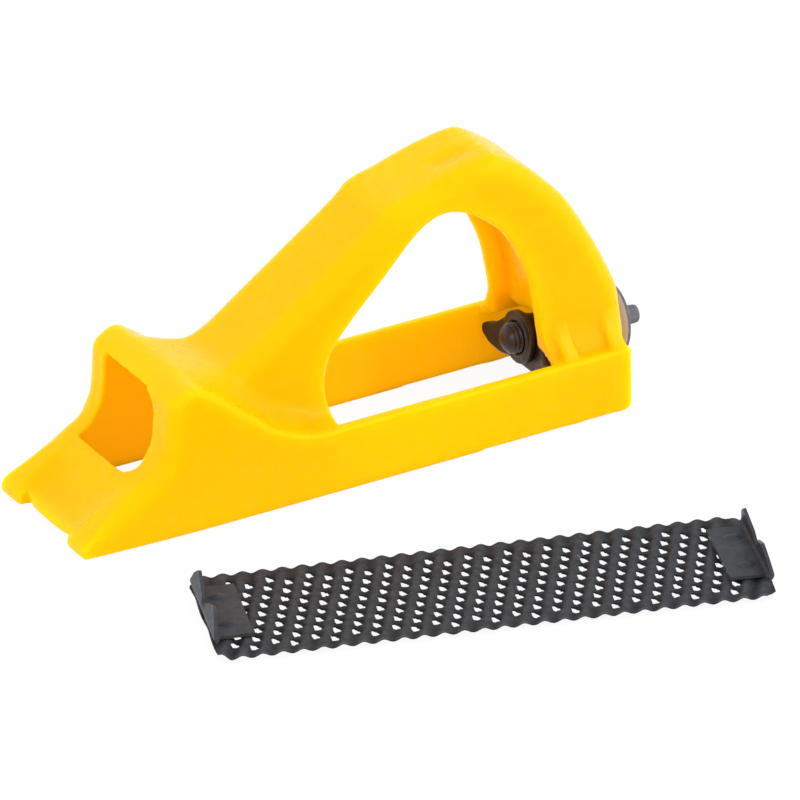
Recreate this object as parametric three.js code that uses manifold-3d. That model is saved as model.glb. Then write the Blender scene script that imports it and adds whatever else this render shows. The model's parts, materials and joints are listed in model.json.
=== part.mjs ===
// Rasp plane: a one-piece moulded body with a closed grip, a screw-pulled blade tensioner and,
// lying beside it, the perforated rasp blade with a bent clip riveted to each end.
// Units are millimetres. The plane runs along +X from toe to heel, Y is across it, and +Z is up from
// the surface that the soles stand on. Every outline is in shares of the sizes that it follows.

import * as THREE from "three";
import { mergeGeometries, mergeVertices } from "three/addons/utils/BufferGeometryUtils.js";
import Module from "manifold-3d";

const wasm = await Module();
wasm.setup();

// Driving sizes of the moulded body
const bodyLength = 165.2;
const bodyWidth = 46;
const railHeight = 18.2;
const railWall = 3;
const skinWall = 2.8;
const soleKick = 1;
const soleKickLength = 45;
const heelRound = 2.5;
const edgeRound = 1.2;
const edgeRoundShare = 0.4;
const hornHeight = 41;
const hornReach = 36;
const hornCornerRound = 3.5;
const shoulderRun = 36;

// Driving sizes of the grip
const gripHeight = 78.4;
const gripWidth = 28;
const gripEdgeRound = 4.5;
const gripCrown = 11.6;
const gripSetback = 5;
const openingFront = 77.5;
const heelDepth = 22.2;
const channelDepth = 4.5;
const armHollowShare = 0.3;
const rearHollowShare = 0.83;
const footFilletRadius = 8;
const footNotchLength = 9.6;
const footNotchSetback = 15.2;
const footNotchFloor = 1;
const chamberRise = 5.3;
const gripRecessLength = 12;
const gripRecessWidth = 4.2;
const gripRecessDepth = 1;
const gripRecessOffset = 2.6;
const crownRecessShare = 0.672;

// Driving sizes of the nose
const windowHalfWidth = 13.6;
const windowOffset = 0.8;
const windowBottom = 16.2;
const windowTop = 37.5;
const windowCornerRound = 3.5;
const windowFootRound = 1.2;
const troughWidth = 32;
const troughDepth = 1.2;
const footWidth = 10.1;
const footReach = 2.6;
const lipBow = 1.2;
const lipRise = 2.2;
const lipLength = 10;

// Driving sizes of the tensioner and its screw
const screwTilt = THREE.MathUtils.degToRad(4.3);
const studDiameter = 8.6;
const studTip = 4.6;
const studCoreShare = 0.86;
const studTipShares = [[0.5, 1.0], [0.82, 0.9], [1.0, 0.62]];
const studSeatShare = 0.75;
const threadPitch = 1.25;
const nutSetback = 22.1;
const nutFaceHeight = 17.4;
const nutFlangeDiameter = 14.6;
const nutFlangeThickness = 1.6;
const nutBarrelDiameter = 11.4;
const nutTravel = 2.5;
const nutRoom = 0.4;
const barThickness = 3.6;
const barSpan = 35.4;
const barTipHeight = 3.2;
const barRootHeight = 10.8;
const barRootSpan = 14.6;
const barSkewDrop = 4.2;
const barBellyDrop = 1;
const barEdge = 0.5;
const sleeveLength = 9.5;
const sleeveWall = 1.2;
const screwHoleClearance = 0.35;
const pressGap = 0.1;
const threadGap = 0.12;
const seatGap = 0.3;

// Driving sizes of the cast thumb knob
const knobDiameter = 22.6;
const knobRim = 1.8;
const knobCollarDiameter = 11;
const knobCollarLength = 7.2;
const knobConeLength = 3.8;
const knobConeShares = [[1, 0], [0.68, 0.16], [0.44, 0.45], [0.25, 1]];
const knobStubDiameter = 4.4;
const knobStubLength = 2.2;

// Driving sizes of the rasp blade
const bladeLength = 146;
const bladeWidth = 44;
const sheetThickness = 0.6;
const waveCount = 28;
const waveHeight = 0.9;
const waveSkew = THREE.MathUtils.degToRad(17.4);
const holeLength = 2.3;
const holeWidth = 2.7;
const holePitch = 4.3;
const holesInLongRow = 9;
const toothDrop = 0.9;
const toothLength = 1.3;
const toothRootShare = 0.8;
const toothBackShare = 0.125;
const domeShare = 0.55;
const flankShare = 0.25;
const plainRows = 3;
const bladeCornerCut = 3;

// Driving sizes of the blade clips
const clipPlateLength = 10.5;
const clipPlateWidth = 27;
const clipThickness = 0.9;
const clipFlangeWidth = 32.4;
const clipFlangeHeight = 6.4;
const clipFlangeLean = THREE.MathUtils.degToRad(11);
const clipFlangeTaper = 3.3;
const clipNotchWidth = 9.2;
const clipNotchDepth = 2.8;
const clipNotchFootShare = 0.6;
const rivetSpacing = 15;
const rivetSetback = 4.6;
const rivetHeadDiameter = 3.6;
const rivetHeadHeight = 0.7;
const rivetShankDiameter = 1.8;
const rivetFootDiameter = 3;
const rivetFootHeight = 0.4;
const rivetDomeShares = [[1, 0], [0.8, 0.6], [0.4, 0.92], [0, 1]];

// Where the blade lies beside the plane
const bladeCentreX = 79.5;
const bladeCentreY = -90;
const bladeYaw = THREE.MathUtils.degToRad(-18.1);

// Small shared values
const overrun = 1;
const arcSteps = 6;
const bevelSteps = 3;
const mitreLimit = 0.6;
const roundSteps = 32;
const weldDistance = 1e-5;

const halfBody = bodyWidth / 2;
const halfGrip = gripWidth / 2;
const halfChannel = halfGrip - railWall;
const halfSlot = halfBody - railWall;
const chamberTop = railHeight + chamberRise;
const openingHeight = gripHeight - gripCrown;
const openingRear = bodyLength - heelDepth;
const nutFaceX = bodyLength - nutSetback;
const gripFront = hornReach - gripSetback;
const gripRun = bodyLength - gripFront;

const yellowPlastic = new THREE.MeshStandardMaterial({ color: 0xffcf02, roughness: 0.32, metalness: 0 });
const darkCasting = new THREE.MeshStandardMaterial({ color: 0x3a2a26, roughness: 0.5, metalness: 0.35 });
const darkSteel = new THREE.MeshStandardMaterial({ color: 0x453a38, roughness: 0.42, metalness: 0.7 });
const castGrey = new THREE.MeshStandardMaterial({ color: 0x77777a, roughness: 0.62, metalness: 0.6 });
const blackSheet = new THREE.MeshStandardMaterial({ color: 0x4a4b4d, roughness: 0.45, metalness: 0.6 });
const blackClip = new THREE.MeshStandardMaterial({ color: 0x3f4042, roughness: 0.36, metalness: 0.6 });

// Solid helpers: a closed geometry becomes a solid that can be cut and joined, and back again.

function solidOf(geometry) {
  const bare = geometry.clone();
  bare.deleteAttribute("normal");
  bare.deleteAttribute("uv");
  const merged = mergeVertices(bare, weldDistance);
  const mesh = new wasm.Mesh({
    numProp: 3,
    vertProperties: new Float32Array(merged.attributes.position.array),
    triVerts: new Uint32Array(merged.index.array),
  });
  return new wasm.Manifold(mesh);
}

function geometryOf(solid) {
  const mesh = solid.getMesh();
  const geometry = new THREE.BufferGeometry();
  geometry.setAttribute("position", new THREE.BufferAttribute(new Float32Array(mesh.vertProperties), 3));
  geometry.setIndex(new THREE.BufferAttribute(new Uint32Array(mesh.triVerts), 1));
  geometry.computeVertexNormals();
  return geometry;
}

// A skin over rings of points: every ring has the same number of points, and flat fans close both ends.
function loftSolid(rings, firstCap = rings[0], lastCap = rings[rings.length - 1]) {
  const count = rings[0].length;
  const positions = [];
  for (const ring of rings) {
    for (const point of ring) {
      positions.push(point.x, point.y, point.z);
    }
  }
  const index = [];
  for (let r = 0; r + 1 < rings.length; r += 1) {
    for (let i = 0; i < count; i += 1) {
      const a = r * count + i;
      const b = r * count + ((i + 1) % count);
      index.push(a, b, b + count);
      index.push(a, b + count, a + count);
    }
  }
  const flatPoints = (ring) => {
    const origin = ring[0];
    const normal = new THREE.Vector3();
    for (let i = 1; i + 1 < ring.length; i += 1) {
      const first = ring[i].clone().sub(origin);
      const second = ring[i + 1].clone().sub(origin);
      normal.add(first.cross(second));
    }
    normal.normalize();
    const along = ring[Math.floor(ring.length / 2)].clone().sub(origin).projectOnPlane(normal).normalize();
    const across = normal.clone().cross(along);
    return ring.map((point) => {
      const offset = point.clone().sub(origin);
      return new THREE.Vector2(offset.dot(along), offset.dot(across));
    });
  };
  const last = (rings.length - 1) * count;
  for (const [a, b, c] of THREE.ShapeUtils.triangulateShape(flatPoints(firstCap), [])) {
    index.push(c, b, a);
  }
  for (const [a, b, c] of THREE.ShapeUtils.triangulateShape(flatPoints(lastCap), [])) {
    index.push(last + a, last + b, last + c);
  }
  const geometry = new THREE.BufferGeometry();
  geometry.setAttribute("position", new THREE.Float32BufferAttribute(positions, 3));
  geometry.setIndex(index);
  const solid = solidOf(geometry);
  return solid.volume() < 0 ? solidOf(flipped(geometry)) : solid;
}

function flipped(geometry) {
  const turned = geometry.clone();
  const index = Array.from(geometry.index.array);
  for (let i = 0; i < index.length; i += 3) {
    [index[i], index[i + 1]] = [index[i + 1], index[i]];
  }
  turned.setIndex(index);
  return turned;
}

// An outline of X and Z points pushed across the plane, centred on Y, with rounded side edges.
function acrossSolid(points, width, round = 0) {
  const layers = [];
  const steps = round > 0 ? bevelSteps : 0;
  for (let i = 0; i <= steps; i += 1) {
    const turn = steps > 0 ? (i / steps) * (Math.PI / 2) : 0;
    layers.push([width / 2 - round * (1 - Math.sin(turn)), round * (1 - Math.cos(turn))]);
  }
  const stations = [...layers.map(([y, inset]) => [-y, inset]), ...layers.reverse()];
  if (round > 0) {
    stations.sort((a, b) => a[0] - b[0]);
  }
  const ringAt = (y, inset) => insetOutline(points, inset).map((spot) => new THREE.Vector3(spot.x, y, spot.y));
  const rings = stations.map(([y, inset]) => ringAt(y, inset));
  const plain = ringAt(0, 0);
  return loftSolid(rings, plain, plain);
}

// Draws a closed outline in by a distance, each corner moving along the middle of its two normals.
function insetOutline(points, distance) {
  const sign = THREE.ShapeUtils.area(points) > 0 ? 1 : -1;
  return points.map((spot, i) => {
    const before = points[(i + points.length - 1) % points.length];
    const after = points[(i + 1) % points.length];
    const first = spot.clone().sub(before).normalize();
    const second = after.clone().sub(spot).normalize();
    const normal = new THREE.Vector2(-first.y - second.y, first.x + second.x).normalize();
    const lean = Math.max(normal.x * -first.y + normal.y * first.x, mitreLimit);
    return new THREE.Vector2(
      spot.x + (sign * normal.x * distance) / lean, spot.y + (sign * normal.y * distance) / lean);
  });
}

function boxSolid(x0, x1, y0, y1, z0, z1) {
  const geometry = new THREE.BoxGeometry(x1 - x0, y1 - y0, z1 - z0);
  geometry.translate((x0 + x1) / 2, (y0 + y1) / 2, (z0 + z1) / 2);
  return solidOf(geometry);
}

const point = (x, z) => new THREE.Vector2(x, z);

function smooth(points, steps) {
  return new THREE.SplineCurve(points).getPoints(steps);
}

function heightAt(line, x) {
  for (let i = 0; i + 1 < line.length; i += 1) {
    if (x <= line[i + 1].x) {
      const share = (x - line[i].x) / (line[i + 1].x - line[i].x);
      return THREE.MathUtils.lerp(line[i].y, line[i + 1].y, THREE.MathUtils.clamp(share, 0, 1));
    }
  }
  return line[line.length - 1].y;
}

// Moves every point of a line sideways by a distance; the line's right-hand side is positive.
function offsetLine(line, distance) {
  return line.map((spot, i) => {
    const before = line[Math.max(i - 1, 0)];
    const after = line[Math.min(i + 1, line.length - 1)];
    const along = after.clone().sub(before).normalize();
    return new THREE.Vector2(spot.x + along.y * distance, spot.y - along.x * distance);
  });
}

// The side view of the low body: toe slope, horn, shoulder, rail and heel

const noseShares = [
  [0.0, 0.06],
  [0.008, 0.095],
  [0.04, 0.128],
  [0.114, 0.168],
  [0.314, 0.285],
  [0.506, 0.392],
  [0.61, 0.447],
  [0.672, 0.524],
  [0.712, 0.59],
  [0.733, 0.705],
  [0.745, 0.8],
  [0.757, 0.9],
  [0.79, 0.945],
  [0.86, 0.98],
  [0.93, 1.0],
  [1.0, 0.99],
];
const shoulderShares = [
  [0.178, 0.785],
  [0.303, 0.605],
  [0.453, 0.412],
  [0.553, 0.272],
  [0.636, 0.193],
  [0.722, 0.123],
  [0.847, 0.045],
  [0.94, 0.006],
  [1.0, 0.0],
];
const slopeFoot = 3;
const noseLine = noseShares.map(([run, rise]) => point(run * hornReach, rise * hornHeight));
const shoulderRise = hornHeight - railHeight;
const shoulderPoints = shoulderShares.map(([run, rise]) =>
  point(hornReach + run * shoulderRun, railHeight + rise * shoulderRise));
const railFront = hornReach + shoulderRun;
const shoulderLine = smooth([noseLine[noseLine.length - 1], ...shoulderPoints], 14);
const heelStations = [];
for (let i = 0; i <= bevelSteps; i += 1) {
  const turn = (i / bevelSteps) * (Math.PI / 2);
  heelStations.push(point(bodyLength - heelRound * (1 - Math.sin(turn)), heelRound * (1 - Math.cos(turn))));
}
const topLine = [...noseLine, ...shoulderLine.slice(1), point(bodyLength - heelRound, railHeight)];

function soleHeight(x) {
  const share = Math.max(0, 1 - x / soleKickLength);
  return soleKick * share * share;
}

// One cross-section of the low body, a ring in the YZ plane with its four long edges rounded.
function bodyRing(x, top, bottom, round) {
  const ring = [];
  const corners = [
    [1, 1, 0],
    [-1, 1, Math.PI / 2],
    [-1, -1, Math.PI],
    [1, -1, (3 * Math.PI) / 2],
  ];
  for (const [sideY, sideZ, start] of corners) {
    for (let i = 0; i <= bevelSteps; i += 1) {
      const turn = start + (i / bevelSteps) * (Math.PI / 2);
      const cy = sideY * (halfBody - round);
      const cz = sideZ > 0 ? top - round : bottom + round;
      ring.push(new THREE.Vector3(x, cy + round * Math.cos(turn), cz + round * Math.sin(turn)));
    }
  }
  return ring;
}

function lowBody() {
  const stations = topLine.map((spot) => [spot.x, spot.y, soleHeight(spot.x)]);
  for (const spot of heelStations.slice(1)) {
    stations.push([spot.x, railHeight - spot.y, spot.y]);
  }
  const roundAt = (top, bottom) => Math.min(edgeRound, (top - bottom) * edgeRoundShare);
  return loftSolid(stations.map(([x, top, bottom]) => bodyRing(x, top, bottom, roundAt(top, bottom))));
}

// The grip: its back, its opening and its rounded loop

const gripTopShares = [
  [0.0, 0.453],
  [0.0225, 0.485],
  [0.0485, 0.496],
  [0.111, 0.482],
  [0.142, 0.485],
  [0.186, 0.518],
  [0.241, 0.582],
  [0.458, 0.839],
  [0.49, 0.888],
  [0.517, 0.914],
  [0.568, 0.936],
  [0.622, 0.964],
  [0.677, 0.987],
  [0.7265, 1.0],
  [0.754, 0.995],
  [0.813, 0.93],
  [0.866, 0.846],
  [0.9135, 0.75],
  [0.9665, 0.593],
  [0.994, 0.497],
  [1.019, 0.395],
  [1.0225, 0.319],
  [1.018, 0.236],
];
const gripTopPoints = gripTopShares.map(([run, rise]) => point(gripFront + run * gripRun, rise * gripHeight));
const gripTopLine = smooth(gripTopPoints, 44);

const openingShares = [
  [0.0, 0.3],
  [0.0, 0.42],
  [0.03, 0.53],
  [0.125, 0.645],
  [0.28, 0.796],
  [0.405, 0.922],
  [0.49, 0.982],
  [0.575, 1.0],
  [0.67, 0.972],
  [0.76, 0.91],
  [0.85, 0.82],
  [0.935, 0.65],
  [0.972, 0.49],
  [0.99, 0.36],
  [1.0, 0.27],
];
const openingRun = openingRear - openingFront;
const openingLine = smooth(
  openingShares.map(([run, rise]) => point(openingFront + run * openingRun, rise * openingHeight)), 34);

function gripLoop() {
  const outline = [
    point(gripFront, railHeight / 2),
    ...gripTopLine,
    point(bodyLength - heelRound, railHeight / 2),
  ];
  return acrossSolid(outline, gripWidth, gripEdgeRound);
}

function gripOpening() {
  const outline = [point(openingFront, -overrun), ...openingLine, point(openingRear, -overrun)];
  return acrossSolid(outline, gripWidth + 2 * overrun);
}

function gripChannel() {
  const deeper = offsetLine(openingLine, -channelDepth);
  const outline = [point(deeper[0].x, railHeight), ...deeper, point(deeper[deeper.length - 1].x, railHeight)];
  return acrossSolid(outline, 2 * halfChannel);
}

// A concave fillet that runs along the foot of the grip on one side, from one station to another.
function footFillet(side, stations, radiusAt) {
  const rings = stations.map((x) => {
    const base = heightAt(topLine, x);
    const radius = radiusAt(x);
    const ring = [new THREE.Vector3(x, side * (halfGrip - edgeRound), base - edgeRound)];
    ring.push(new THREE.Vector3(x, side * (halfGrip + radius), base - edgeRound));
    for (let i = 0; i <= arcSteps; i += 1) {
      const turn = (i / arcSteps) * (Math.PI / 2);
      const y = halfGrip + radius * (1 - Math.sin(turn));
      ring.push(new THREE.Vector3(x, side * y, base + radius * (1 - Math.cos(turn))));
    }
    ring.push(new THREE.Vector3(x, side * (halfGrip - edgeRound), base + radius));
    return ring;
  });
  return loftSolid(rings);
}

const frontFilletShares = [0.06, 0.16, 0.28, 0.4, 0.52, 0.64, 0.76, 0.88, 1.0];
const rearFilletShares = [0.0, 0.33, 0.67, 0.95];

function footFillets() {
  const frontRun = openingFront - hornReach;
  const frontStations = frontFilletShares.map((share) => hornReach + share * frontRun);
  const frontRadius = (x) => {
    const rise = heightAt(gripTopLine, x) - heightAt(topLine, x);
    return THREE.MathUtils.clamp(rise - gripEdgeRound, edgeRound / 2, footFilletRadius);
  };
  const rearRun = bodyLength - openingRear;
  const rearStations = rearFilletShares.map((share) => openingRear + share * rearRun);
  const pieces = [];
  for (const side of [1, -1]) {
    pieces.push(footFillet(side, frontStations, frontRadius));
    pieces.push(footFillet(side, rearStations, () => footFilletRadius));
  }
  return pieces;
}

function footNotches() {
  const x0 = bodyLength - footNotchSetback;
  const floor = railHeight + footNotchFloor;
  const top = railHeight + footFilletRadius + overrun;
  return [1, -1].map((side) => {
    const inner = side * halfGrip;
    const outer = side * (halfGrip + footFilletRadius + overrun);
    return boxSolid(x0, x0 + footNotchLength, Math.min(inner, outer), Math.max(inner, outer), floor, top);
  });
}

// What is taken out of the nose: rounded front corners, the scooped trough, the lip step and the window

function cornerCutter(side) {
  const rings = [];
  const faceShares = [0.5, 0.62, 0.74, 0.86, 1.0, 1.06];
  for (const share of faceShares) {
    const z = share * hornHeight;
    const grow = THREE.MathUtils.clamp((share - faceShares[0]) / (faceShares[2] - faceShares[0]), 0.1, 1);
    const round = hornCornerRound * grow;
    const faceX = faceAt(z);
    const ring = [new THREE.Vector3(faceX - hornCornerRound, side * (halfBody - round), z)];
    for (let i = 0; i <= arcSteps; i += 1) {
      const turn = (i / arcSteps) * (Math.PI / 2);
      const x = faceX + round * (1 - Math.cos(turn));
      ring.push(new THREE.Vector3(x, side * (halfBody - round * (1 - Math.sin(turn))), z));
    }
    ring.push(new THREE.Vector3(faceX + round, side * (halfBody + overrun), z));
    ring.push(new THREE.Vector3(faceX - hornCornerRound, side * (halfBody + overrun), z));
    rings.push(ring);
  }
  return loftSolid(rings);
}

function faceAt(z) {
  for (let i = 0; i + 1 < noseLine.length; i += 1) {
    if (z <= noseLine[i + 1].y) {
      const share = (z - noseLine[i].y) / (noseLine[i + 1].y - noseLine[i].y);
      return THREE.MathUtils.lerp(noseLine[i].x, noseLine[i + 1].x, Math.max(share, 0));
    }
  }
  return noseLine[noseLine.length - 2].x;
}

function slopeTrough() {
  const low = noseLine[slopeFoot];
  const high = noseLine[slopeFoot + 2];
  const slope = high.clone().sub(low);
  const run = slope.length();
  const segment = new THREE.Shape();
  const halfWidth = troughWidth / 2;
  segment.moveTo(-halfWidth, 0);
  segment.quadraticCurveTo(0, -2 * troughDepth, halfWidth, 0);
  segment.lineTo(halfWidth, troughDepth);
  segment.lineTo(-halfWidth, troughDepth);
  const geometry = new THREE.ExtrudeGeometry(segment, {
    depth: 2 * run,
    bevelEnabled: false,
    curveSegments: 2 * arcSteps,
  });
  const across = new THREE.Vector3(0, -1, 0);
  const along = new THREE.Vector3(slope.x, 0, slope.y).normalize();
  const up = along.clone().cross(across);
  geometry.applyMatrix4(new THREE.Matrix4().makeBasis(across, up, along));
  const start = along.clone().multiplyScalar(-run / 2);
  geometry.translate(low.x + start.x, 0, low.y + start.z);
  return solidOf(geometry);
}

function noseWindow() {
  const shape = new THREE.Shape();
  const top = windowCornerRound;
  const foot = windowFootRound;
  const left = windowOffset - windowHalfWidth;
  const right = windowOffset + windowHalfWidth;
  shape.moveTo(left + foot, windowBottom);
  shape.lineTo(right - foot, windowBottom);
  shape.quadraticCurveTo(right, windowBottom, right, windowBottom + foot);
  shape.lineTo(right, windowTop - top);
  shape.quadraticCurveTo(right, windowTop, right - top, windowTop);
  shape.lineTo(left + top, windowTop);
  shape.quadraticCurveTo(left, windowTop, left, windowTop - top);
  shape.lineTo(left, windowBottom + foot);
  shape.quadraticCurveTo(left, windowBottom, left + foot, windowBottom);
  const geometry = new THREE.ExtrudeGeometry(shape, {
    depth: gripFront,
    bevelEnabled: false,
    curveSegments: 3,
  });
  geometry.rotateX(Math.PI / 2);
  geometry.rotateZ(Math.PI / 2);
  return solidOf(geometry);
}

// The hollows under the skin

function noseHollow() {
  const inner = offsetLine(topLine.slice(slopeFoot), skinWall).filter((spot) => spot.x < openingFront);
  const rise = inner[0];
  const outline = [point(rise.x, -overrun), ...inner, point(openingFront + overrun, railHeight - skinWall)];
  outline.push(point(openingFront + overrun, -overrun));
  return acrossSolid(outline, 2 * halfSlot);
}

// Both arms of the grip are hollow between their back and the web round the opening.
function armHollows() {
  const webDepth = channelDepth + skinWall;
  const back = offsetLine(gripTopLine, skinWall);
  const foot = railHeight / 2;
  const core = acrossSolid([point(back[0].x, foot), ...back, point(back[back.length - 1].x, foot)], 2 * halfChannel);
  const web = offsetLine(openingLine, -webDepth);
  const webFoot = [point(web[0].x, -overrun), ...web, point(web[web.length - 1].x, -overrun)];
  const hollow = core.subtract(acrossSolid(webFoot, gripWidth));
  const frontEnd = openingFront + armHollowShare * openingRun;
  const rearStart = openingFront + rearHollowShare * openingRun;
  const front = boxSolid(hornReach, frontEnd, -halfGrip, halfGrip, foot, gripHeight);
  const rearFoot = chamberTop - overrun;
  const rear = boxSolid(rearStart, bodyLength + gripWidth, -halfGrip, halfGrip, rearFoot, gripHeight);
  return [hollow.intersect(front), hollow.intersect(rear)];
}

// The slot between the rails, and the chamber behind it that the tensioner slides in
function railSlot() {
  const wide = boxSolid(openingFront - overrun, openingRear, -halfSlot, halfSlot, -overrun, railHeight + overrun);
  const shelf = railHeight - skinWall;
  const flare = (halfSlot - halfChannel) / 2;
  const corners = [
    [halfSlot, -overrun],
    [halfSlot, shelf],
    [halfChannel, shelf + flare],
    [halfChannel, chamberTop],
    [-halfChannel, chamberTop],
    [-halfChannel, shelf + flare],
    [-halfSlot, shelf],
    [-halfSlot, -overrun],
  ];
  const ringAt = (x) => corners.map(([y, z]) => new THREE.Vector3(x, y, z));
  return [wide, loftSolid([ringAt(openingRear - channelDepth), ringAt(bodyLength - railWall)])];
}

// The screw's axis, from the nut's front face towards the heel

const screwOrigin = new THREE.Vector3(nutFaceX, 0, nutFaceHeight);
const screwAxis = new THREE.Vector3(Math.cos(screwTilt), 0, -Math.sin(screwTilt));

// A round piece along the screw's axis: its profile is pairs of radius and distance behind the nut's face.
function turnedSolid(profile, steps = roundSteps) {
  const geometry = new THREE.LatheGeometry(profile.map(([r, s]) => new THREE.Vector2(r, s)), steps);
  geometry.rotateZ(-Math.PI / 2);
  return solidOf(geometry);
}

function onScrewAxis(solid) {
  const geometry = geometryOf(solid);
  geometry.rotateY(screwTilt);
  geometry.translate(screwOrigin.x, screwOrigin.y, screwOrigin.z);
  return solidOf(geometry);
}

const heelReach = (bodyLength - nutFaceX) / Math.cos(screwTilt);

function screwHole() {
  const radius = studDiameter / 2 + screwHoleClearance;
  return onScrewAxis(turnedSolid([[0, 0], [radius, 0], [radius, 2 * heelReach], [0, 2 * heelReach]]));
}

// Room in the web round the opening for the flange when the screw has pulled the nut back
function nutRelief() {
  const radius = nutFlangeDiameter / 2 + nutRoom;
  const end = nutFlangeThickness + nutTravel + nutRoom;
  return onScrewAxis(turnedSolid([[0, -overrun], [radius, -overrun], [radius, end], [0, end]]));
}

function screwSeat() {
  const radius = knobCollarDiameter / 2 + overrun;
  return onScrewAxis(turnedSolid([[0, heelReach], [radius, heelReach], [radius, 2 * heelReach], [0, 2 * heelReach]]));
}

function gripRecess() {
  const run = gripFront + crownRecessShare * gripRun;
  const geometry = new THREE.BoxGeometry(gripRecessLength, gripRecessWidth, 2 * gripRecessDepth);
  const slope = heightAt(gripTopLine, run + gripRecessLength / 2) - heightAt(gripTopLine, run - gripRecessLength / 2);
  geometry.rotateY(-Math.atan2(slope, gripRecessLength));
  geometry.translate(run, -gripRecessOffset, heightAt(gripTopLine, run));
  return solidOf(geometry);
}

// Between the two feet the toe ends in a bowed lip, raised a little above the soles.
function toeGap() {
  const half = halfBody - footWidth;
  const shape = new THREE.Shape();
  shape.moveTo(-overrun, -half);
  shape.lineTo(footReach, -half);
  shape.quadraticCurveTo(footReach - 2 * lipBow, 0, footReach, half);
  shape.lineTo(-overrun, half);
  const geometry = new THREE.ExtrudeGeometry(shape, {
    depth: railHeight,
    bevelEnabled: false,
    curveSegments: 2 * arcSteps,
  });
  geometry.translate(0, 0, -overrun);
  const under = boxSolid(-overrun, footReach + lipLength, -half, half, -overrun, lipRise);
  return solidOf(geometry).add(under);
}

function bodyShell() {
  let solid = lowBody().add(gripLoop());
  for (const fillet of footFillets()) {
    solid = solid.add(fillet);
  }
  const cutters = [
    ...footNotches(),
    cornerCutter(1),
    cornerCutter(-1),
    slopeTrough(),
    noseHollow(),
    ...armHollows(),
    gripOpening(),
    gripChannel(),
    ...railSlot(),
    noseWindow(),
    toeGap(),
    screwHole(),
    nutRelief(),
    screwSeat(),
    gripRecess(),
  ];
  for (const cutter of cutters) {
    solid = solid.subtract(cutter);
  }
  return solid;
}

// The tensioner: a cross bar with drawn-down tips and a sleeve round the screw behind it, and the
// flanged nut pressed into it

function tensionerBar() {
  const axisDrop = -barSkewDrop;
  const half = barSpan / 2;
  const root = barRootSpan / 2;
  const low = axisDrop - barTipHeight / 2;
  const shape = new THREE.Shape();
  shape.moveTo(-half, low);
  shape.lineTo(-root, low - barBellyDrop);
  shape.lineTo(root, low - barBellyDrop);
  shape.lineTo(half, low);
  shape.lineTo(half, low + barTipHeight);
  shape.lineTo(root, low - barBellyDrop + barRootHeight);
  shape.lineTo(-root, low - barBellyDrop + barRootHeight);
  shape.lineTo(-half, low + barTipHeight);
  const geometry = new THREE.ExtrudeGeometry(shape, {
    depth: barThickness - 2 * barEdge,
    bevelEnabled: true,
    bevelThickness: barEdge,
    bevelSize: barEdge,
    bevelOffset: -barEdge,
    bevelSegments: 1,
  });
  geometry.rotateX(Math.PI / 2);
  geometry.rotateZ(Math.PI / 2);
  geometry.translate(nutFlangeThickness + seatGap + barEdge, 0, 0);
  const back = nutFlangeThickness + seatGap + barThickness;
  const radius = nutBarrelDiameter / 2 + pressGap;
  const studRadius = studDiameter / 2 + screwHoleClearance;
  const nutEnd = back - sleeveWall + seatGap;
  const sleeveEnd = back + sleeveLength;
  const sleeve = turnedSolid([
    [0, back - barEdge],
    [studRadius + sleeveWall, back - barEdge],
    [studRadius + sleeveWall, sleeveEnd],
    [0, sleeveEnd],
  ]);
  const end = sleeveEnd + overrun;
  const bore = turnedSolid([
    [0, -overrun],
    [radius, -overrun],
    [radius, nutEnd],
    [studRadius, nutEnd],
    [studRadius, end],
    [0, end],
  ]);
  return onScrewAxis(solidOf(geometry).add(sleeve).subtract(bore));
}

function flangeNut() {
  const bore = studDiameter / 2 + threadGap;
  const back = nutFlangeThickness + seatGap + barThickness - sleeveWall;
  const edge = barEdge / 2;
  const flange = nutFlangeDiameter / 2;
  const barrel = nutBarrelDiameter / 2;
  const profile = [
    [bore, 0],
    [flange - edge, 0],
    [flange, edge],
    [flange, nutFlangeThickness],
    [barrel, nutFlangeThickness],
    [barrel, back],
    [bore, back],
    [bore, 0],
  ];
  return onScrewAxis(turnedSolid(profile));
}

// The thumb screw: a threaded stud with a rounded tip, and the cast knob on its rear end

const knobStart = heelReach + seatGap;
const studEnd = knobStart + knobCollarLength * studSeatShare;

function threadedStud() {
  const crest = studDiameter / 2;
  const root = crest * studCoreShare;
  const profile = [[0, -studTip], ...studTipShares.map(([wide, far]) => [root * wide, -studTip * far])];
  const threadStart = profile[profile.length - 1][1];
  const crests = Math.round(-threadStart / threadPitch);
  for (let i = 0; i < crests; i += 1) {
    const s = threadStart + (i + 1 / 2) * threadPitch;
    profile.push([crest, s]);
    profile.push([root, s + threadPitch / 2]);
  }
  profile.push([crest, profile[profile.length - 1][1] + threadPitch / 2]);
  profile.push([crest, studEnd], [0, studEnd]);
  return onScrewAxis(turnedSolid(profile));
}

function thumbKnob() {
  const collar = knobCollarDiameter / 2;
  const rim = knobDiameter / 2;
  const stub = knobStubDiameter / 2;
  const rimStart = knobStart + knobCollarLength;
  const rimEnd = rimStart + knobRim;
  const coneEnd = rimEnd + knobConeLength;
  const body = turnedSolid([
    [0, knobStart],
    [collar - barEdge, knobStart],
    [collar, knobStart + barEdge],
    [collar, rimStart - barEdge],
    [rim - barEdge, rimStart],
    [rim, rimStart + barEdge],
    ...knobConeShares.map(([wide, far]) => [rim * wide, rimEnd + knobConeLength * far]),
    [stub, coneEnd + barEdge],
    [stub, coneEnd + knobStubLength],
    [0, coneEnd + knobStubLength],
  ]);
  const bore = studDiameter / 2 + pressGap;
  const socketEnd = studEnd + seatGap;
  return onScrewAxis(body.subtract(turnedSolid([[0, 0], [bore, 0], [bore, socketEnd], [0, socketEnd]])));
}

// The blade, in its own frame: U along it, V across it, its lowest teeth on the surface

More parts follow.
